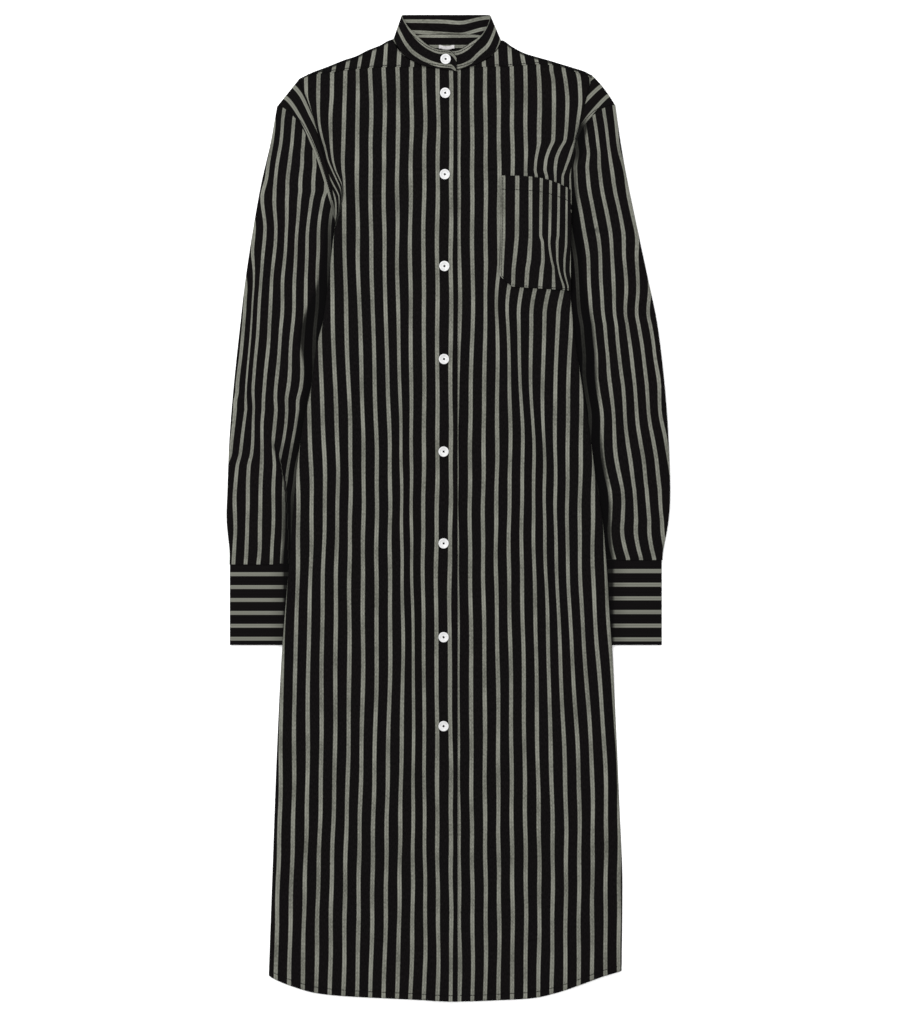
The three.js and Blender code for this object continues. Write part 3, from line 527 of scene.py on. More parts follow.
def laid_place(side, x, y):
    """Distance across the cloth of a front away from its armhole, 0 on its first stripe."""
    if side < 0:
        away = first_left_stripe - x + wander(x, y)
        tight, drift, folds = left_tightness, left_drift, left_takes
    else:
        away = x - first_right_stripe + wander(x, y)
        tight, drift, folds = right_tightness, right_drift, right_takes
    return away * tight + look_up(drift, "y", "pull", y) + cloth_taken(folds, away, y)


def between_stripes(lines, out):
    """Distance across the cloth from the first of a row of stripes, outwards."""
    total = np.minimum(0, out - lines[0]) + np.maximum(0, out - lines[-1])
    for near, far in zip(lines, lines[1:]):
        total = total + stripe_pitch * np.clip((out - near) / (far - near), 0, 1)
    return total


def stripe_place(side, x, y):
    """Distance across the cloth of a front, with the gathers beside its armhole."""
    laid = laid_place(side, x, y)
    rows = left_gathers if side < 0 else right_gathers
    lines = [side * look_up(rows, "y", name, y) for name in rows if name != "y"]
    start = lines[0]
    out = side * x
    first = stripe_pitch * (8 if side < 0 else 7)
    gap = first - laid_place(side, side * start, y)
    if side < 0:
        gap = gap * smooth_step((y - left_fold_top + 8) / 8)
    easing = smooth_step((out - start) / (1.6 * stripe_pitch) + 1)
    gathered = np.where(out > start, first + between_stripes(lines, out), laid + gap * easing)
    low = rows["y"][0]
    return mix(laid, gathered, smooth_step((y - low + 24) / 24))


# Materials
class Shader:
    """A principled material and short ways to add nodes to it."""

    def __init__(self, name, roughness, specular):
        self.material = bpy.data.materials.new(name)
        self.material.use_nodes = True
        self.nodes = self.material.node_tree.nodes
        self.links = self.material.node_tree.links
        self.surface = self.nodes["Principled BSDF"]
        self.surface.inputs["Roughness"].default_value = roughness
        self.surface.inputs["Specular IOR Level"].default_value = specular

    def math(self, operation, *values):
        """One step of arithmetic on numbers or sockets."""
        node = self.nodes.new("ShaderNodeMath")
        node.operation = operation
        for socket, value in zip(node.inputs, values):
            if isinstance(value, (int, float)):
                socket.default_value = value
            else:
                self.links.new(value, socket)
        return node.outputs[0]

    def noise(self, vector, scale, detail=2.0, roughness=0.5):
        node = self.nodes.new("ShaderNodeTexNoise")
        node.inputs["Scale"].default_value = scale
        node.inputs["Detail"].default_value = detail
        node.inputs["Roughness"].default_value = roughness
        self.links.new(vector, node.inputs["Vector"])
        return node.outputs["Fac"]

    def stretch(self, vector, scale):
        node = self.nodes.new("ShaderNodeVectorMath")
        node.operation = "MULTIPLY"
        node.inputs[1].default_value = scale
        self.links.new(vector, node.inputs[0])
        return node.outputs[0]

    def blend(self, share, first, second):
        node = self.nodes.new("ShaderNodeMix")
        node.data_type = "RGBA"
        for socket, value in ((node.inputs[6], first), (node.inputs[7], second)):
            if isinstance(value, tuple):
                socket.default_value = (*value, 1)
            else:
                self.links.new(value, socket)
        self.links.new(share, node.inputs[0])
        return node.outputs[2]

    def step(self, value, start, end):
        """0 below start and 1 above end, smoothly between."""
        node = self.nodes.new("ShaderNodeMapRange")
        node.interpolation_type = "SMOOTHSTEP"
        node.inputs["From Min"].default_value = start
        node.inputs["From Max"].default_value = end
        self.links.new(value, node.inputs["Value"])
        return node.outputs["Result"]

    def bump(self, height, distance, strength):
        node = self.nodes.new("ShaderNodeBump")
        node.inputs["Distance"].default_value = distance
        node.inputs["Strength"].default_value = strength
        self.links.new(height, node.inputs["Height"])
        self.links.new(node.outputs["Normal"], self.surface.inputs["Normal"])


# Linear colours
ground_dark = (0.0012, 0.0009, 0.0010)
# Lighter patches of painted sheen on the black ground
ground_sheen_patch = (0.0042, 0.0035, 0.0037)
ground_edge = (0.0003, 0.0002, 0.0003)
# Colour of the painted shade in deep folds and creases
painted_fold_shade = (0.0008, 0.0007, 0.0008)
stripe_pale = (0.186, 0.188, 0.160)
stripe_deep = (0.056, 0.057, 0.047)
stripe_line = (0.060, 0.062, 0.051)


def striped_cotton():
    """Yarn-dyed cotton: pale stripes of two bands with a hairline between, on near black."""
    s = Shader("striped_cotton", 0.92, 0.045)
    s.surface.inputs["Sheen Weight"].default_value = 0.003
    s.surface.inputs["Sheen Roughness"].default_value = 0.5
    uv = s.nodes.new("ShaderNodeUVMap")
    uv.uv_map = "cloth"
    split = s.nodes.new("ShaderNodeSeparateXYZ")
    s.links.new(uv.outputs["UV"], split.inputs[0])
    across = split.outputs["X"]
    yarn = s.noise(s.stretch(uv.outputs["UV"], (900, 260, 1)), 1.0, 2.0)
    sway = s.math("MULTIPLY", s.math("SUBTRACT", yarn, 0.5), 0.5 * MM)
    place = s.math("ADD", across, sway)
    turns = s.math("DIVIDE", place, stripe_pitch * MM)
    part = s.math("FRACT", s.math("ADD", turns, 0.5))
    off = s.math("ABSOLUTE", s.math("SUBTRACT", part, 0.5))
    distance = s.math("MULTIPLY", off, stripe_pitch)
    half = stripe_width / 2
    outside = s.step(distance, half - 0.35, half + 0.3)
    hairline = s.math("SUBTRACT", 1.0, s.step(distance, 0.15, 0.75))
    rim = s.step(distance, half - 1.15, half - 0.35)
    heather = s.noise(s.stretch(uv.outputs["UV"], (1500, 330, 1)), 1.0, 3.0, 0.6)
    cloudy = s.noise(s.stretch(uv.outputs["UV"], (60, 22, 1)), 1.0, 2.0)
    tone = s.math("ADD", s.math("MULTIPLY", heather, 0.8), s.math("MULTIPLY", cloudy, 0.5))
    pale = s.blend(s.step(tone, 0.42, 0.86), stripe_deep, stripe_pale)
    lined = s.blend(s.math("MULTIPLY", hairline, 0.62), pale, stripe_line)
    edged = s.blend(s.math("MULTIPLY", rim, 0.35), lined, stripe_deep)
    # Patches of painted sheen lighten the black ground here and there
    sheen_patches = s.noise(s.stretch(uv.outputs["UV"], (1100, 240, 1)), 1.0, 3.0, 0.6)
    beside = s.math("SUBTRACT", 1.0, s.step(distance, half + 0.5, half + 1.6))
    ground = s.blend(s.step(sheen_patches, 0.35, 0.75), ground_dark, ground_sheen_patch)
    ground = s.blend(s.math("MULTIPLY", beside, 0.8), ground, ground_edge)
    colour = s.blend(outside, edged, ground)
    # Painted shade: the "depth" attribute darkens the cloth towards this colour in the deep folds
    # between the sleeves and the body, along creases and under the body's edge, where little light
    # reaches
    depth = s.nodes.new("ShaderNodeAttribute")
    depth.attribute_name = "depth"
    colour = s.blend(depth.outputs["Fac"], colour, painted_fold_shade)
    s.links.new(colour, s.surface.inputs["Base Color"])
    warp = s.math("SINE", s.math("MULTIPLY", across, 2 * math.pi / (weave_pitch * MM)))
    weft = s.math("SINE", s.math("MULTIPLY", split.outputs["Y"], 2 * math.pi / (weave_pitch * MM)))
    weave = s.math("ADD", s.math("MULTIPLY", warp, weft), s.math("MULTIPLY", heather, 1.5))
    s.bump(weave, 0.00008, 0.35)
    return s.material


def grained(name, roughness, specular, grain, detail, limits, colours, relief=None):
    """A finish of two close colours in a fine grain. relief: distance and strength of its bump."""
    s = Shader(name, roughness, specular)
    where = s.nodes.new("ShaderNodeTexCoord").outputs["Object"]
    pattern = s.noise(s.stretch(where, grain), 1.0, detail)
    colour = s.blend(s.step(pattern, *limits), *colours)
    s.links.new(colour, s.surface.inputs["Base Color"])
    if relief:
        s.bump(pattern, *relief)
    return s.material


def shell_white():
    """Glossy white button with a faint clouding."""
    colours = ((0.40, 0.40, 0.40), (0.50, 0.50, 0.50))
    return grained("shell_white", 0.28, 0.5, (300, 500, 300), 3.0, (0.35, 0.75), colours)


def black_thread():
    """Matte sewing thread."""
    colours = ((0.0012, 0.001, 0.0012), (0.0035, 0.003, 0.0035))
    grain = (2600, 2600, 2600)
    return grained("black_thread", 0.9, 0.06, grain, 2.0, (0.3, 0.7), colours, (0.00006, 0.5))


def label_grey():
    """Plain woven label."""
    colours = ((0.26, 0.25, 0.25), (0.44, 0.43, 0.43))
    return grained("label_grey", 0.8, 0.2, (500, 4200, 900), 2.0, (0.3, 0.7), colours, (0.0001, 0.4))


def pale_floor():
    """Even white surface under the dress."""
    colours = ((0.90, 0.90, 0.90), (0.92, 0.92, 0.92))
    return grained("pale_floor", 0.9, 0.1, (3, 3, 3), 2.0, (0.3, 0.7), colours)


cotton = striped_cotton()
white = shell_white()
thread = black_thread()
grey = label_grey()


# Cloth
def grid_normals(points, ring):
    """Direction square to the cloth at each point of a grid."""
    if ring:
        across = np.roll(points, -1, 1) - np.roll(points, 1, 1)
    else:
        across = np.gradient(points, axis=1)
    along = np.gradient(points, axis=0)
    normal = np.cross(across, along)
    return normal / np.maximum(np.linalg.norm(normal, axis=2, keepdims=True), 1e-9)


def cloth_sheet(name, node, points, across, along, **options):
    """A thin closed shell of cloth on a grid of points, rows by columns.
    across, along: place on the cut cloth, across and along its stripes. flip: it faces the other way.
    turned_down: columns or rows whose edge stands on what is below it."""
    ring = options.get("ring", False)
    flip = options.get("flip", False)
    thickness = options.get("thickness", shown_cloth)
    rows, columns = points.shape[:2]
    inner = options.get("inner")
    if inner is None:
        normals = grid_normals(points, ring) * (-1 if flip else 1)
        if "turned_down" in options:
            flat = options["turned_down"]
            normals[flat, 2] = 0
            length = np.linalg.norm(normals[flat], axis=1, keepdims=True)
            normals[flat] = normals[flat] / np.maximum(length, 1e-9)
        inner = points - normals * thickness
    inner_across = options.get("inner_across", across)
    vertices = np.concatenate([points.reshape(-1, 3), inner.reshape(-1, 3)]) * MM
    layer = rows * columns
    number = np.arange(layer).reshape(rows, columns)
    if ring:
        number = np.concatenate([number, number[:, :1]], 1)
    places = np.stack([np.broadcast_to(across, number.shape), np.broadcast_to(along, number.shape)], 2)
    under = np.stack([np.broadcast_to(inner_across, number.shape), places[:, :, 1]], 2)
    faces, spots = [], []

    def corner(grid, i, j):
        return grid[i:grid.shape[0] - 1 + i, j:grid.shape[1] - 1 + j]

    def add(quads, marks):
        order = [0, 3, 2, 1] if flip else [0, 1, 2, 3]
        faces.append(np.stack([quads[k] for k in order], -1).reshape(-1, 4))
        spots.append(np.stack([marks[k] for k in order], -2).reshape(-1, 4, 2))

    turns = [(0, 0), (0, 1), (1, 1), (1, 0)]
    add([corner(number, *k) for k in turns], [corner(places, *k) for k in turns])
    back = [(0, 0), (1, 0), (1, 1), (0, 1)]
    add([corner(number, *k) + layer for k in back], [corner(under, *k) for k in back])

    def edge(line, marks):
        add(
            [line[:-1], line[:-1] + layer, line[1:] + layer, line[1:]],
            [marks[:-1], marks[:-1], marks[1:], marks[1:]],
        )

    edge(number[0], places[0])
    edge(number[-1][::-1], places[-1][::-1])
    if not ring:
        edge(number[::-1, 0], places[::-1, 0])
        edge(number[:, -1], places[:, -1])
    faces = np.concatenate(faces)
    spots = np.concatenate(spots) * MM
    mesh = bpy.data.meshes.new(name)
    mesh.from_pydata(vertices.tolist(), [], faces.tolist())
    mesh.uv_layers.new(name="cloth").data.foreach_set("uv", spots.astype(np.float32).ravel())
    mesh.polygons.foreach_set("use_smooth", np.ones(len(faces), bool))
    # depth: painted shade, 0 to 1, kept in the "depth" attribute that darkens the cloth's colour
    depth = np.broadcast_to(options.get("depth", 0.0), (rows, columns)).ravel()
    mesh.attributes.new("depth", "FLOAT", "POINT").data.foreach_set(
        "value", np.concatenate([depth, depth]).astype(np.float32)
    )
    mesh.materials.append(cotton)
    obj = bpy.data.objects.new(name, mesh)
    bpy.context.scene.collection.objects.link(obj)
    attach(obj, "root")
    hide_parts(node)
    return obj


def front_points(side, inner_edge, top_rows):
    """Rows by columns of a front's points, with their distance from the side edge."""
    turns = turn_steps(fold_radius, turn_count)
    widest = abs(inner_edge - side_edge(side, -580))
    flat = int(widest / column_step)
    even = np.linspace(0, 1, flat + 1)[1:]
    shares = even * mix(edge_density, 1, even)
    side_rows = left_side if side < 0 else right_side
    hem_y = side_rows["y"][0]
    shoulder_y = side_rows["y"][-1]

    def column_x(y):
        edge = side_edge(side, y)
        turned_part = edge - side * turns
        flat_part = mix(edge - side * fold_radius, inner_edge, shares)
        return np.concatenate([turned_part, flat_part], -1)

    bottom = look_up(hem, "x", "y", column_x(np.array([hem_y])))
    top = look_up(top_rows, "x", "y", column_x(np.array([shoulder_y])))
    count = int(front_length / row_step)
    share = np.linspace(0, 1, count + 1)[:, None]
    y = mix(bottom[None, :], top[None, :], share)
    edge = side_edge(side, y)
    column = np.concatenate([turns, np.zeros(flat)])
    part = np.concatenate([np.zeros(len(turns)), shares])
    x = np.where(
        np.arange(len(column)) < len(turns),
        edge - side * column,
        mix(edge - side * fold_radius, inner_edge, part),
    )
    distance = np.abs(x - edge)
    low = lift(x, y)
    step = upper_front_step(x) if side < 0 else 0
    hem_fold = hem_rise * (1 - smooth_step((y - bottom[None, :] - hem_width) / 1.2))
    full = body_height(x, y) - low + hem_fold
    z = low + full * turned(distance, fold_radius) + step
    return np.stack([x, y, z], 2), distance


def front(name, side, inner_edge, top_rows):
    """One front, with its gathers and its turned side."""
    points, distance = front_points(side, inner_edge, top_rows)
    x, y = points[:, :, 0], points[:, :, 1]
    # The stripes go on round the turned edge at their own spacing
    bent = np.clip(1 - distance / fold_radius, 0, 1)
    hidden = fold_radius * (np.arcsin(bent) - bent)
    across = stripe_place(side, x, y) + hidden
    turned_down = np.zeros(x.shape, bool)
    turned_down[:, 0] = True
    # Painted shade along the sharp fold where the stripes of the gathers meet
    depth = 0.0
    if side < 0:
        fold_x = look_up(left_gathers, "y", "k9", y) - 0.8
        ends = smooth_step((left_fold_top - 2 - y) / 6) * smooth_step((y - 345) / 10)
        depth = 0.85 * ends * np.exp(-(((x - fold_x) / 1.7) ** 2))
    return cloth_sheet(
        name, name.replace("_cloth", ""), points, across, y,
        flip=side > 0, turned_down=turned_down, depth=depth,
    )


def front_yoke(name, side, top_rows, bottom_rows):
    """Strip between a shoulder and a front."""
    first, last = top_rows["x"][0], top_rows["x"][-1]
    columns = 64
    x = np.linspace(first, last, columns + 1)[None, :]
    top = look_up(top_rows, "x", "y", x)
    bottom = look_up(bottom_rows, "x", "y", x) - seam_overlap
    radius = np.minimum(fold_radius, 0.7 * (top - bottom))
    turns = turn_steps(1, turn_count)[::-1][:, None]
    flat = np.linspace(0, 1, 13)[:-1][:, None]
    y = np.concatenate([mix(bottom, top - radius, flat), top - turns * radius])
    x = np.broadcast_to(x, y.shape)
    shoulder = smooth_step((np.abs(x) - neck_flat) / (neck_turn - neck_flat))
    share = mix(1, turned(top - y, radius), shoulder)
    ridge = yoke_ridge * (1 - smooth_step((y - bottom) / 5))
    points = np.stack([x, y, body_height(x, y) * share + ridge], 2)
    seam_y = np.broadcast_to(bottom, y.shape)
    lean = (0.05 + 0.15 * smooth_step((np.abs(x) - 76) / 16)) * (y - seam_y)
    across = stripe_place(side, x, seam_y) + yoke_shift + lean
    turned_down = np.zeros(x.shape, bool)
    turned_down[-1] = np.abs(x[-1]) > neck_turn - 0.1
    # Painted shade along the turned edge at the shoulder
    depth = 0.9 * shoulder * (1 - smooth_step((top - y - 3) / 1.8))
    return cloth_sheet(
        name, name.replace("_cloth", ""), points, across, y, turned_down=turned_down, depth=depth
    )


def back():
    """Back from the hem to the yoke seam, faced down."""
    columns = 96
    rows = 260
    bottom = look_up(hem, "x", "y", np.linspace(-219, 212, columns + 1)) + 3
    y = mix(bottom[None, :], back_yoke_seam, np.linspace(0, 1, rows + 1)[:, None])
    left = side_edge(-1, y) + back_inset
    right = side_edge(1, y) - back_inset
    x = mix(left, right, np.linspace(0, 1, columns + 1)[None, :])
    points = np.stack([x, y, lift(x, y)], 2)
    return cloth_sheet("back_cloth", "back", points, x - back_stripe, y, flip=True)


def back_yoke():
    """Crosswise striped yoke of the back, faced down."""
    columns = 90
    rows = 34
    u = np.linspace(0, 1, columns + 1)[None, :]
    shoulder_y = left_side["y"][-1]
    span = mix(side_edge(-1, shoulder_y) + back_inset, side_edge(1, shoulder_y) - back_inset, u)
    top = look_up(back_top, "x", "y", span)
    y = mix(back_yoke_seam, top, np.linspace(0, 1, rows + 1)[:, None])
    x = mix(side_edge(-1, y) + back_inset, side_edge(1, y) - back_inset, u)
    points = np.stack([x, y, lift(x, y)], 2)
    return cloth_sheet("back_yoke_cloth", "back_yoke", points, y - back_yoke_stripe, x, flip=True)


def inner_yoke():
    """The part of the inner yoke that shows in the neck."""
    columns, rows = 60, 18
    first, last = inner_yoke_bottom["x"][0], inner_yoke_bottom["x"][-1]
    x = np.linspace(first, last, columns + 1)[None, :]
    bottom = look_up(inner_yoke_bottom, "x", "y", x)
    under_collar = 3
    top = inner_yoke_top + under_collar - inner_yoke_dip * (x / last) ** 2
    y = mix(bottom, top, np.linspace(0, 1, rows + 1)[:, None])
    x = np.broadcast_to(x, y.shape)
    level = 2 * cloth + layer_gap + 0.15 * np.sin(x / 9)
    points = np.stack([x, y, level], 2)
    upper_stripe = 589.5
    spread = 1.32
    across = (upper_stripe - y) * spread + 1.2 * (x / last) ** 2
    return cloth_sheet("inner_yoke_cloth", "inner_yoke", points, across, x)


def collar():
    """Band collar, its stripes along it, from one front end over the back to the other."""
    steps, rows = 230, 18
    position = np.linspace(0, len(collar_rows["z"]) - 1, steps + 1)
    row = {name: values[None, :] for name, values in row_at(collar_rows, position).items()}
    t = np.linspace(-0.04, 1, rows + 1)[:, None]
    x = mix(row["seam_x"], row["top_x"], t)
    y = mix(row["seam_y"], row["top_y"], t)
    z = np.broadcast_to(np.maximum(0, row["z"]), x.shape)
    ends = np.minimum(position, position[-1] - position)[None, :]
    soft = 0.25 * np.sin(position * 2.3)[None, :] * np.sin(np.pi * t) * smooth_step(ends / 2)
    z = z + soft * (row["z"] > 5)
    points = np.stack([x, y, z], 2)
    height = np.hypot(row["top_x"] - row["seam_x"], row["top_y"] - row["seam_y"])
    from_edge = (1 - t) * height
    outer = [look_up(collar_stripes, "row", name, position)[None, :] for name in ("upper", "lower")]
    behind = row["z"] < 4
    rising = 4.4 * smooth_step((x - 16) / 36) - 1.6 * np.exp(-(((x - 14) / 14) ** 2))
    first = inside_stripe - rising * behind
    second = first + inside_spacing + 1.6 * np.exp(-((x / 32) ** 2))
    inner_across = between_stripes([first, second], from_edge)
    along = np.broadcast_to(position * 17, x.shape)
    return cloth_sheet(
        "collar_cloth", "collar", points, between_stripes(outer, from_edge), along,
        flip=True, thickness=collar_cloth, inner_across=inner_across,
    )


# Flattened tubes
def ring_steps(width, edges, inset):
    """Across and level of the points round a flattened tube, from the outer edge's underside."""
    outer_arc = edges[0] / 2 - inset
    inner_arc = edges[1] / 2 - inset
    outer = (inset + outer_arc) / width
    inner = 1 - (inset + inner_arc) / width
    quarter = np.linspace(-np.pi / 2, np.pi / 2, ring_arc + 1)[None, :]
    first = (inset + outer_arc * (1 - np.cos(quarter))) / width
    top = mix(outer, inner, np.linspace(0, 1, ring_top + 1)[None, 1:])
    last = 1 - (inset + inner_arc * (1 - np.cos(quarter))) / width
    bottom = mix(inner, outer, np.linspace(0, 1, ring_bottom + 1)[None, 1:-1])
    rows = width.shape[0]
    up = np.broadcast_to((1 + np.sin(quarter)) / 2, first.shape)
    across = np.concatenate([first, top, last[:, ::-1][:, 1:], bottom], 1)
    down = np.broadcast_to((1 + np.sin(-quarter)) / 2, last.shape)
    level = np.concatenate(
        [up, np.ones((rows, ring_top)), down[:, 1:], np.zeros((rows, ring_bottom - 1))], 1
    )
    return across, level


def section_plan(row, across, power):
    """X and Y across a section of a sleeve, bowed by its bulge."""
    dx = row["inner_x"] - row["outer_x"]
    dy = row["inner_y"] - row["outer_y"]
    width = np.hypot(dx, dy)
    bow = row["bulge"] * np.sin(np.pi * np.clip(across, 0, 1) ** power)
    x = mix(row["outer_x"], row["inner_x"], across) - dy / width * bow
    y = mix(row["outer_y"], row["inner_y"], across) + dx / width * bow
    return x, y


def sleeve_thickness(row, across):
    """Thickness of a sleeve, thinner where the body lies on it."""
    share = smooth_step((across - row["cover"] + cover_start) / cover_width)
    return mix(row["full"], sleeve_covered, share)


def sleeve_fold_height(position, across, side):
    """Height that a sleeve's soft folds add."""
    total = 0
    for fold in sleeve_folds:
        start = fold["start"] + (0 if side < 0 else 0.6)
        t = (position - start) / (fold["end"] - fold["start"])
        ends = smooth_step(t * 3) * smooth_step((1 - t) * 3)
        drift = 0.03 * np.sin(3 * position + side)
        off = (across - fold["across"] - drift) / fold["width"]
        total = total + fold["height"] * ends * np.exp(-off * off)
    return total


def flat_tube(name, side, width, edges, plan_at, thickness_at, across_at, along, painted_shade_at=None):
    """A flattened tube of thin cloth. Its sections are rows of arrays, one column each."""
    def rings(inset):
        across, level = ring_steps(width, edges, inset)
        x, y = plan_at(across)
        top = thickness_at(across, level)
        z = inset + (top - 2 * inset) * level
        return np.stack([x, y, z], 2), across, level

    points, across, level = rings(0)
    inner, _, _ = rings(shown_cloth)
    closing = np.concatenate([across, across[:, :1]], 1)
    x, y = plan_at(closing)
    # Painted shade on the upper side of the tube, none on its underside
    depth = painted_shade_at(points[:, :, 0], points[:, :, 1]) * level if painted_shade_at else 0.0
    return cloth_sheet(
        name, name.replace("_cloth", ""), points, across_at(closing, x, y), along,
        ring=True, flip=side < 0, inner=inner, depth=depth,
    )


def sleeve(name, side, rows, power, stripes, creases):
    """One sleeve, a flattened tube down to its cuff."""
    count = 190
    position = np.linspace(0, len(rows["full"]) - 1, count + 1)[:, None]
    row = row_at(rows, position)
    under_cuff = seam_overlap * (position > len(rows["full"]) - 1.1)
    row["outer_y"] = row["outer_y"] - under_cuff
    row["inner_y"] = row["inner_y"] - under_cuff
    width = np.hypot(row["inner_x"] - row["outer_x"], row["inner_y"] - row["outer_y"])
    edges = (sleeve_thickness(row, 0), sleeve_thickness(row, 1))

    def thickness_at(across, level):
        rough = 0.12 * np.sin(across * 37 + position * 2.1) * np.sin(position * 7 + across * 11)
        folds = sleeve_fold_height(position, across, side) + rough
        return sleeve_thickness(row, across) + level * folds

    return flat_tube(
        name, side, width, edges,
        lambda across: section_plan(row, across, power),
        thickness_at,
        lambda across, x, y: sleeve_stripe_place(side, rows, stripes, creases, x, y),
        np.broadcast_to(position * 52, (count + 1, 1)),
        lambda x, y: sleeve_painted_shade(side, x, y),
    )


def sleeve_outer(rows, y):
    """X of a sleeve's outer edge at height y."""
    return np.interp(y, rows["outer_y"][::-1], rows["outer_x"][::-1])


def sleeve_stripe_place(side, rows, stripes, creases, x, y):
    """Distance across the cloth of a sleeve, 0 on its first stripe and growing inwards."""
    away = side * (sleeve_outer(rows, y) - x)
    wobble = 0.5 * np.sin(y / 19 + 2 * np.sin(x / 23)) + 0.3 * np.sin(y / 11 + 2 * np.sin(x / 17))
    from_first = away - look_up(stripes, "y", "first", y) + wobble
    place = from_first * stripe_pitch / look_up(stripes, "y", "spacing", y)
    for crease in creases:
        rise = smooth_step((crease["y1"] - y) / crease["rise"])
        fall = smooth_step((y - crease["y2"]) / crease["fall"])
        across = (from_first + crease["beyond"]) / crease["width"]
        place = place - crease["take"] * rise * fall * 0.5 * (1 - np.tanh(1.3 * across))
    if side < 0:
        share = smooth_step((left_low_top - y) / (left_low_top - left_low_start))
        place = mix(place, left_low_place(x, y) + wobble, share)
    return place


def left_low_place(x, y):
    """Distance across the cloth on the lower part of the viewer's left sleeve."""
    column = {name: look_up(left_low_stripes, "y", name, y) for name in left_low_stripes}
    near = between_stripes([column[name] for name in ("a", "b", "c", "d", "e", "hidden")], x)
    far = between_stripes([column[name] for name in ("before", "f", "g", "h")], x)
    return np.where(x < column["fold"], near - 3 * stripe_pitch, far + stripe_pitch)


def left_fold_painted_shade(x, y):
    """Painted shade along the fold on the lower part of the viewer's left sleeve."""
    off = x - look_up(left_low_stripes, "y", "fold", y)
    start = smooth_step((left_fold_start - y) / 16)
    low = smooth_step((26 - y) / 22)
    line = 0.95 * np.exp(-((off / 2.6) ** 2))
    beyond = mix(0.45, 0.88, low) * smooth_step((off + 1) / 2)
    shade = 0.6 * low * smooth_step((off + 11) / 5)
    return start * np.maximum(line, np.maximum(beyond, shade))


def sleeve_painted_shade(side, x, y):
    """Painted shade on a sleeve, 0 to 1: in the fold beside the body, along its fold or its crease."""
    rows = left_valley_shade if side < 0 else right_valley_shade
    inside = side * (x - side_edge(side, y))
    wide = look_up(rows, "y", "width", y) * (1 + 0.15 * np.sin(y / 27))
    across = 1 - smooth_step((inside - wide) / 5)
    valley = across * look_up(rows, "y", "dark", y)
    return np.maximum(valley, left_fold_painted_shade(x, y) if side < 0 else elbow_painted_shade(x, y))


def elbow_painted_shade(x, y):
    """Painted shade along the short crease across the viewer's right sleeve."""
    crease = elbow_crease_shade
    off = (y - crease["y"] - crease["lean"] * (x - crease["x1"])) / crease["width"]
    ends = smooth_step((x - crease["x1"]) / 6) * smooth_step((crease["x2"] - x) / 6)
    return crease["dark"] * ends * np.exp(-off * off)


def from_seam(row, power, x, y):
    """Distance from a sleeve's armhole seam, and the share of the seam's length at that place."""
    share = np.linspace(0, 1, 400)
    line_x, line_y = section_plan(row, share, power)
    gaps = np.hypot(x[..., None] - line_x, y[..., None] - line_y)
    nearest = gaps.argmin(-1)
    return gaps.min(-1), share[nearest]


def armhole_band(name, side, rows, power, front_top, front_low, **stripes):
    """near: from the seam to the outer stripe, which is further by more at the band's outer end.
    outer_close, inner_close: how close its stripes lie at its two ends, 1 on flat cloth."""
    count = 14
    row = {key: values[0] for key, values in rows.items()}
    width = math.hypot(row["inner_x"] - row["outer_x"], row["inner_y"] - row["outer_y"])
    widths = np.full((count + 1, 1), width)
    edges = tuple(np.full((count + 1, 1), sleeve_thickness(row, end)) for end in (0, 1))
    step = np.linspace(0, 1, count + 1)[:, None]

    def plan_at(across):
        seam_x, seam_y = section_plan(row, across, power)
        front_y = mix(front_top, front_low, across)
        front_x = side_edge(side, front_y) - side * band_under
        length = np.hypot(seam_x - front_x, seam_y - front_y)
        share = step * (1 + seam_overlap / length)
        outwards = (1 - np.clip(across, 0, 1)) ** 4
        swell = stripes["swell"] * np.sin(np.pi * np.clip(share, 0, 1)) * outwards
        return mix(front_x, seam_x, share) + side * swell, mix(front_y, seam_y, share) + swell

    def across_at(across, x, y):
        distance, share = from_seam(row, power, x, y)
        near = stripes["near"] + stripes["more"] * np.exp(-share / stripes["fade"])
        close = mix(stripes["outer_close"], stripes["inner_close"], smooth_step(share / 0.2))
        return (distance - near) * close

    def thickness_at(across, level):
        dip = 2.6 * (1 - smooth_step(step / 0.2)) + 0.5 * smooth_step((step - 0.9) / 0.1)
        return sleeve_thickness(row, across) + level * 0.1 * np.sin(across * 30) - dip

    # Painted shade on the band below dark_below, as strong as dark
    def painted_shade_at(x, y):
        return stripes["dark"] * smooth_step((stripes["dark_below"] - y) / 14)

    return flat_tube(
        name, side, widths, edges, plan_at, thickness_at, across_at, np.zeros((count + 1, 1)), painted_shade_at
    )


def cuff_painted_shade(out):
    """Painted shade of a cuff beside and under the body, out from the middle of the dress."""
    deep = 0.94 * (1 - smooth_step((out - cuff_shade) / 4))
    soft = 0.3 * (1 - smooth_step((out - cuff_shade) / 22))
    return np.maximum(deep, soft)


def cuff(name, side, outer_x, inner_x, top_y, first_stripe, spread):
    """One plain crosswise cuff."""
    count = 44
    width = np.full((count + 1, 1), abs(inner_x - outer_x))
    edge = np.full((count + 1, 1), cuff_thickness)
    y = mix(top_y + seam_overlap, cuff_end, np.linspace(0, 1, count + 1)[:, None])

    def thickness_at(across, level):
        return cuff_thickness + level * 0.12 * np.sin(across * 19 + y / 17) + 0 * across

    return flat_tube(
        name, side, width, (edge, edge),
        lambda across: (mix(outer_x, inner_x, across) + 0 * y, y + 0 * across),
        thickness_at,
        lambda across, x, y: (first_stripe - y) * spread,
        np.zeros((count + 1, 1)),
        lambda x, y: cuff_painted_shade(np.abs(x)),
    )


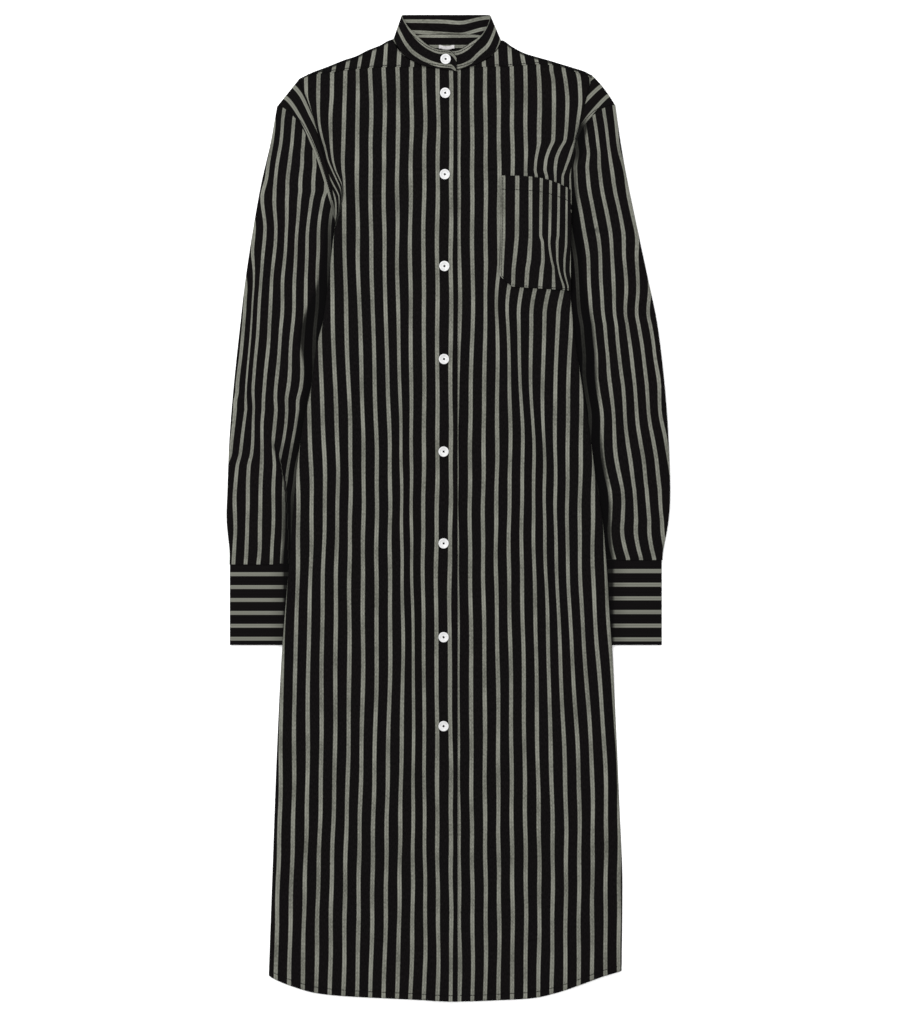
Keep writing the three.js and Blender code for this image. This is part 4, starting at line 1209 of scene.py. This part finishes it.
def pocket_point(u, v):
    """Point of the pocket, u across from its free side and v up from its bottom."""
    left_y = mix(pocket_bottom_left, pocket_top_left, v)
    top = pocket_top_left - pocket_top_drop * u**3.2
    y = mix(mix(pocket_bottom_left, pocket_bottom_right, u), top, v)
    x = mix(look_up(pocket_side, "y", "x", left_y), pocket_right, u)
    z = body_height(x, y) + pocket_raise + pocket_cloth + fold_height([pocket_crease], x, y)
    return np.stack([x, y, z], -1)


def pocket():
    """Chest pocket on a grid of its own points."""
    u = np.linspace(0, 1, 76)[None, :]
    v = np.linspace(0, 1, 69)[:, None]
    points = pocket_point(u + 0 * v, v + 0 * u)
    x, y = points[:, :, 0], points[:, :, 1]
    lines = [look_up(pocket_stripes, "y", f"k{number}", y) for number in range(8)]
    place = between_stripes(lines, x)
    return cloth_sheet("chest_pocket_cloth", "chest_pocket", points, place, y, thickness=pocket_cloth)


# Pieces that are modelled once by hand and copied
def begin():
    """Nothing selected, in object mode, before a new piece."""
    if bpy.context.object and bpy.context.object.mode != "OBJECT":
        bpy.ops.object.mode_set(mode="OBJECT")
    bpy.ops.object.select_all(action="DESELECT")


def select_faces(obj, wanted):
    """Edit mode with the faces selected for which wanted(face) is true."""
    bpy.ops.object.mode_set(mode="EDIT")
    bpy.context.tool_settings.mesh_select_mode = (False, False, True)
    bpy.ops.mesh.select_all(action="DESELECT")
    bpy.ops.object.mode_set(mode="OBJECT")
    for face in obj.data.polygons:
        face.select = wanted(face)
    bpy.ops.object.mode_set(mode="EDIT")


def copy_to(master, name, matrix):
    """A copy of a modelled piece with its own mesh, its place in the mesh."""
    made = master.copy()
    made.data = master.data.copy()
    made.data.transform(matrix)
    made.matrix_world = Matrix.Identity(4)
    made.name = name
    bpy.context.scene.collection.objects.link(made)
    return made


def join(pieces, name):
    """One object of several."""
    with bpy.context.temp_override(
        active_object=pieces[0], object=pieces[0],
        selected_objects=pieces, selected_editable_objects=pieces,
    ):
        bpy.ops.object.join()
    pieces[0].name = name
    pieces[0].data.name = name
    return pieces[0]


def button_master():
    """A dished button with a raised round rim and four close holes."""
    begin()
    bpy.ops.mesh.primitive_cylinder_add(
        vertices=56, radius=button_radius * MM, depth=button_height * MM,
        location=(0, 0, button_height / 2 * MM),
    )
    obj = bpy.context.active_object
    top = button_height * MM
    select_faces(obj, lambda face: face.normal.z > 0.9)
    bpy.ops.mesh.inset(thickness=rim_width * MM, depth=0)
    bpy.ops.mesh.inset(thickness=dish_width * MM, depth=-dish_depth * MM)
    bpy.ops.mesh.inset(thickness=0.5 * MM, depth=-0.12 * MM)
    bpy.ops.mesh.select_mode(type="EDGE")
    bpy.ops.mesh.select_all(action="DESELECT")
    bpy.ops.mesh.edges_select_sharp(sharpness=math.radians(22))
    bpy.ops.mesh.bevel(offset=0.4 * MM, segments=3, affect="EDGES")
    bpy.ops.object.mode_set(mode="OBJECT")
    cutters = []
    for number in range(4):
        angle = math.pi / 4 + number * math.pi / 2
        place = (hole_spread * math.cos(angle) * MM, hole_spread * math.sin(angle) * MM, top / 2)
        bpy.ops.object.select_all(action="DESELECT")
        bpy.ops.mesh.primitive_cylinder_add(
            vertices=16, radius=hole_radius * MM, depth=2 * top, location=place
        )
        cutters.append(bpy.context.active_object)
    for cutter in cutters:
        begin()
        bpy.context.view_layer.objects.active = obj
        obj.select_set(True)
        modifier = obj.modifiers.new("hole", "BOOLEAN")
        modifier.operation = "DIFFERENCE"
        modifier.object = cutter
        bpy.ops.object.modifier_apply(modifier="hole")
        bpy.data.objects.remove(cutter)
    bpy.ops.object.shade_smooth_by_angle(angle=math.radians(32))
    bpy.ops.object.transform_apply(location=True, rotation=True, scale=True)
    obj.data.materials.append(white)
    return obj


def button_thread_master():
    """Two crossed pairs of black thread over the holes, each a low arch."""
    level = (button_height - dish_depth - 0.35) * MM
    arches = []
    for angle in (math.pi / 4, 3 * math.pi / 4):
        for offset in (-0.26, 0.26):
            begin()
            bpy.ops.mesh.primitive_torus_add(
                major_radius=hole_spread * MM, minor_radius=0.36 * MM,
                major_segments=20, minor_segments=8, rotation=(math.pi / 2, 0, 0),
            )
            arch = bpy.context.active_object
            bpy.ops.object.transform_apply(location=True, rotation=True, scale=True)
            bpy.ops.object.mode_set(mode="EDIT")
            bpy.ops.mesh.select_all(action="SELECT")
            bpy.ops.mesh.bisect(
                plane_co=(0, 0, -0.1 * MM), plane_no=(0, 0, 1), use_fill=True, clear_inner=True
            )
            bpy.ops.mesh.select_all(action="SELECT")
            bpy.ops.transform.resize(value=(1, 1, 0.55), center_override=(0, 0, 0))
            bpy.ops.transform.translate(value=(0, offset * MM, level))
            bpy.ops.object.mode_set(mode="OBJECT")
            arch.data.transform(Matrix.Rotation(angle, 4, "Z"))
            arches.append(arch)
    obj = join(arches, "button_thread")
    begin()
    obj.select_set(True)
    bpy.context.view_layer.objects.active = obj
    bpy.ops.object.shade_smooth()
    obj.data.materials.append(thread)
    return obj


def finish_piece(obj, slot_name, *nodes):
    """Tie a modelled piece to the body and hide the nodes it replaces."""
    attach(obj, "root")
    if nodes:
        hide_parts(*nodes)
    return obj


def buttons():
    """Nine buttons with their thread, where the solids have them."""
    shape = button_master()
    sewing = button_thread_master()
    names = ["button_collar"] + [f"button_{number}" for number in range(1, 9)]
    for number, name in enumerate(names):
        low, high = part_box(name)
        turn = math.radians(17 * number + 4)
        place = Matrix.Translation(((low.x + high.x) / 2, (low.y + high.y) / 2, low.z))
        place = place @ Matrix.Rotation(turn, 4, "Z")
        made = copy_to(shape, name + "_shell", place)
        finish_piece(made, "button", name)
        finish_piece(copy_to(sewing, name + "_thread", place), None)
    bpy.data.objects.remove(shape)
    bpy.data.objects.remove(sewing)


def stitch_master():
    """One stitch along X, with rounded ends that go down into the cloth."""
    begin()
    bpy.ops.mesh.primitive_cylinder_add(
        vertices=8, radius=thread_radius * MM, depth=stitch_length * MM,
        rotation=(0, math.pi / 2, 0),
    )
    obj = bpy.context.active_object
    bpy.ops.object.transform_apply(location=True, rotation=True, scale=True)
    select_faces(obj, lambda face: abs(face.normal.x) > 0.9)
    bpy.ops.mesh.inset(thickness=0.1 * MM, depth=0.22 * MM)
    bpy.ops.transform.translate(value=(0, 0, -0.16 * MM))
    bpy.ops.mesh.select_all(action="SELECT")
    bpy.ops.transform.resize(value=(1, 1, 0.8), center_override=(0, 0, 0))
    bpy.ops.object.mode_set(mode="OBJECT")
    bpy.ops.object.shade_smooth()
    obj.data.materials.append(thread)
    return obj


def sew(master, name, path):
    """A row of stitches along a path on the cloth, points in millimetres."""
    path = np.asarray(path, float)
    gaps = np.linalg.norm(np.diff(path, axis=0), axis=1)
    along = np.concatenate([[0], np.cumsum(gaps)])
    count = max(1, int(along[-1] / stitch_spacing))
    made = []
    for number in range(count):
        middle = (number + 0.5) * along[-1] / count
        before, here, after = (
            Vector([np.interp(at, along, path[:, axis]) for axis in range(3)]) * MM
            for at in (middle - 1.2, middle, middle + 1.2)
        )
        direction = (after - before).normalized()
        side = Vector((0, 0, 1)).cross(direction).normalized()
        up = direction.cross(side)
        place = Matrix((direction, side, up)).transposed().to_4x4()
        made.append(copy_to(master, name, Matrix.Translation(here) @ place))
    return finish_piece(join(made, name), None)


def front_top_z(side, x, y):
    """Height of a front's upper side, the upper front's rise added."""
    step = upper_front_step(x) if side < 0 else 0
    return body_height(x, y) + step


def sewing():
    """Topstitching where the photo shows it, or where such a garment has it."""
    one = stitch_master()
    for side, name, first, last in ((-1, "right", -219, 9.5), (1, "left", 14, 211)):
        x = np.linspace(first, last, 160)
        y = look_up(hem, "x", "y", x) + hem_width - 1.4
        z = front_top_z(side, x, y) + hem_rise + stitch_clear
        sew(one, f"hem_stitches_{name}", np.stack([x, y, z], 1))
    for name, rows, sides, lower in (
        ("right", left_yoke, (-176, -60), left_top), ("left", right_yoke, (56, 168), right_top)
    ):
        x = np.linspace(*sides, 90)
        y = look_up(lower, "x", "y", x) + 1.3
        z = body_height(x, y) + yoke_ridge + stitch_clear
        sew(one, f"yoke_stitches_{name}", np.stack([x, y, z], 1))
    position = np.linspace(0.9, 6.4, 120)
    for side, positions in (("right", position), ("left", np.linspace(14.3, 18.6, 120))):
        row = row_at(collar_rows, positions)
        for edge, share in (("seam", 0.13), ("edge", 0.88)):
            x = mix(row["seam_x"], row["top_x"], share)
            y = mix(row["seam_y"], row["top_y"], share)
            points = np.stack([x, y, row["z"] + 0.2 + stitch_clear], 1)
            sew(one, f"collar_{edge}_stitches_{side}", points)
    for side, name, outer_x, inner_x in ((-1, "right", -271, -205), (1, "left", 264.5, 205)):
        x = np.linspace(outer_x, inner_x, 80)
        level = np.full(x.shape, cuff_thickness + 0.1 + stitch_clear)
        y = np.full(x.shape, cuff_end + 2.6)
        sew(one, f"cuff_stitches_{name}", np.stack([x, y, level], 1))
    sew_pocket(one)
    sew_armholes(one)
    bpy.data.objects.remove(one)


def sew_pocket(one):
    """Topstitching along the pocket's free side, bottom and hem."""
    inset_u, inset_v = 0.022, 0.016
    run = np.linspace(0, 1, 60)
    sides = {
        "pocket_stitches_side": (np.full(60, inset_u), mix(0.99, 0.03, run)),
        "pocket_stitches_bottom": (mix(0.03, 0.98, run), np.full(60, inset_v)),
        "pocket_stitches_hem": (mix(0.01, 0.99, run), np.full(60, 0.875)),
    }
    for name, (u, v) in sides.items():
        sew(one, name, pocket_point(u, v) + (0, 0, stitch_clear))


def sew_armholes(one):
    """Topstitching beside the armhole seams."""
    for side, name, rows, power, low in (
        (-1, "right", left_sleeve, left_seam_power, 0.8),
        (1, "left", right_sleeve, right_seam_power, 0.42),
    ):
        row = {key: values[0] for key, values in rows.items()}
        across = np.linspace(0.06, low, 120)
        x, y = section_plan(row, across, power)
        dx, dy = np.gradient(x), np.gradient(y)
        length = np.hypot(dx, dy)
        x = x + side * dy / length * stitch_inset
        y = y - side * dx / length * stitch_inset
        z = sleeve_thickness(row, across) + 0.2
        sew(one, f"armhole_stitches_{name}", np.stack([x, y, z], 1))


def neck_label():
    """Plain label, a folded strip with soft edges and its ends a little raised."""
    low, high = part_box("neck_label")
    begin()
    centre = (low + high) / 2 + Vector((0, -label_down * MM, 0))
    bpy.ops.mesh.primitive_cube_add(size=1, location=centre)
    obj = bpy.context.active_object
    obj.name = "neck_label_cloth"
    obj.scale = (high.x - low.x, 0.8 * (high.y - low.y), 0.7 * (high.z - low.z))
    bpy.ops.object.transform_apply(location=True, rotation=True, scale=True)
    half = (high.x - low.x) / 2
    select_faces(obj, lambda face: True)
    bpy.ops.mesh.subdivide(number_cuts=7)
    for share in (0.3, 0.55, 0.9):
        select_faces(obj, lambda face: abs(face.center.x - centre.x) > (1 - share / 2) * half)
        bpy.ops.transform.translate(value=(0, 0.45 * MM, 0.1 * MM))
    bpy.ops.object.mode_set(mode="OBJECT")
    bevel = obj.modifiers.new("soft edges", "BEVEL")
    bevel.width = 0.2 * MM
    bevel.segments = 2
    bpy.ops.object.modifier_apply(modifier="soft edges")
    bpy.ops.object.shade_smooth_by_angle(angle=math.radians(40))
    obj.data.materials.append(grey)
    return finish_piece(obj, "label", "neck_label")


cloth_pieces = {
    "back": back(),
    "back_yoke": back_yoke(),
    "inner_yoke": inner_yoke(),
    "front_left": front("front_left_cloth", 1, under_edge, right_top),
    "front_right": front("front_right_cloth", -1, placket_edge, left_top),
    "yoke_right": front_yoke("front_yoke_right_cloth", -1, left_yoke, left_top),
    "yoke_left": front_yoke("front_yoke_left_cloth", 1, right_yoke, right_top),
    "band_right": armhole_band(
        "armhole_band_right_cloth", -1, left_sleeve, left_seam_power,
        front_top=536, front_low=352,
        near=1.6, more=12.8, fade=0.125, outer_close=0.95, inner_close=1.32,
        swell=0, dark_below=392, dark=0.6,
    ),
    "band_left": armhole_band(
        "armhole_band_left_cloth", 1, right_sleeve, right_seam_power,
        front_top=542, front_low=375,
        near=1.2, more=14.4, fade=0.085, outer_close=1.07, inner_close=1.07,
        swell=1.2, dark_below=490, dark=0.97,
    ),
    "sleeve_right": sleeve(
        "sleeve_right_cloth", -1, left_sleeve, left_seam_power,
        left_sleeve_stripes, left_sleeve_creases,
    ),
    "sleeve_left": sleeve(
        "sleeve_left_cloth", 1, right_sleeve, right_seam_power,
        right_sleeve_stripes, [],
    ),
    "cuff_right": cuff(
        "cuff_right_cloth", -1,
        outer_x=-273, inner_x=-166.5, top_y=-70, first_stripe=-82.5, spread=1.058,
    ),
    "cuff_left": cuff(
        "cuff_left_cloth", 1,
        outer_x=266.5, inner_x=161, top_y=-64.5, first_stripe=-78.6, spread=1.0,
    ),
    "collar": collar(),
    "pocket": pocket(),
}

buttons()
sewing()
neck_label()


# Floor, light and camera
begin()
bpy.ops.mesh.primitive_plane_add(size=12, location=(0, 0, -0.0004))
floor = bpy.context.active_object
floor.name = "floor"
floor.data.materials.append(pale_floor())

world = bpy.data.worlds.new("studio")
bpy.context.scene.world = world
world.use_nodes = True
world.node_tree.nodes["Background"].inputs["Color"].default_value = (1, 1, 1, 1)
world.node_tree.nodes["Background"].inputs["Strength"].default_value = 1.25


def area_light(name, place, aim, size, power):
    """A soft light that points at a place."""
    data = bpy.data.lights.new(name, "AREA")
    data.size = size
    data.energy = power
    light = bpy.data.objects.new(name, data)
    light.location = place
    direction = Vector(aim) - Vector(place)
    light.rotation_euler = direction.to_track_quat("-Z", "Y").to_euler()
    bpy.context.scene.collection.objects.link(light)
    return light


area_light("key", (-1.2, 0.9, 3.2), aim=(0, 0, 0), size=2.6, power=62)
area_light("neck", (-0.5, 1.3, 1.7), aim=(0, 0.3, 0), size=1.4, power=16)

picture_height = 1272.5 * MM
view_centre = (2.0 * MM, -1.1 * MM)
lens = 100
sensor = 36
camera_data = bpy.data.cameras.new("camera")
camera_data.lens = lens
camera_data.sensor_width = sensor
camera = bpy.data.objects.new("camera", camera_data)
camera.location = (*view_centre, picture_height * lens / sensor)
bpy.context.scene.collection.objects.link(camera)
bpy.context.scene.camera = camera
bpy.context.scene.view_settings.view_transform = "Standard"
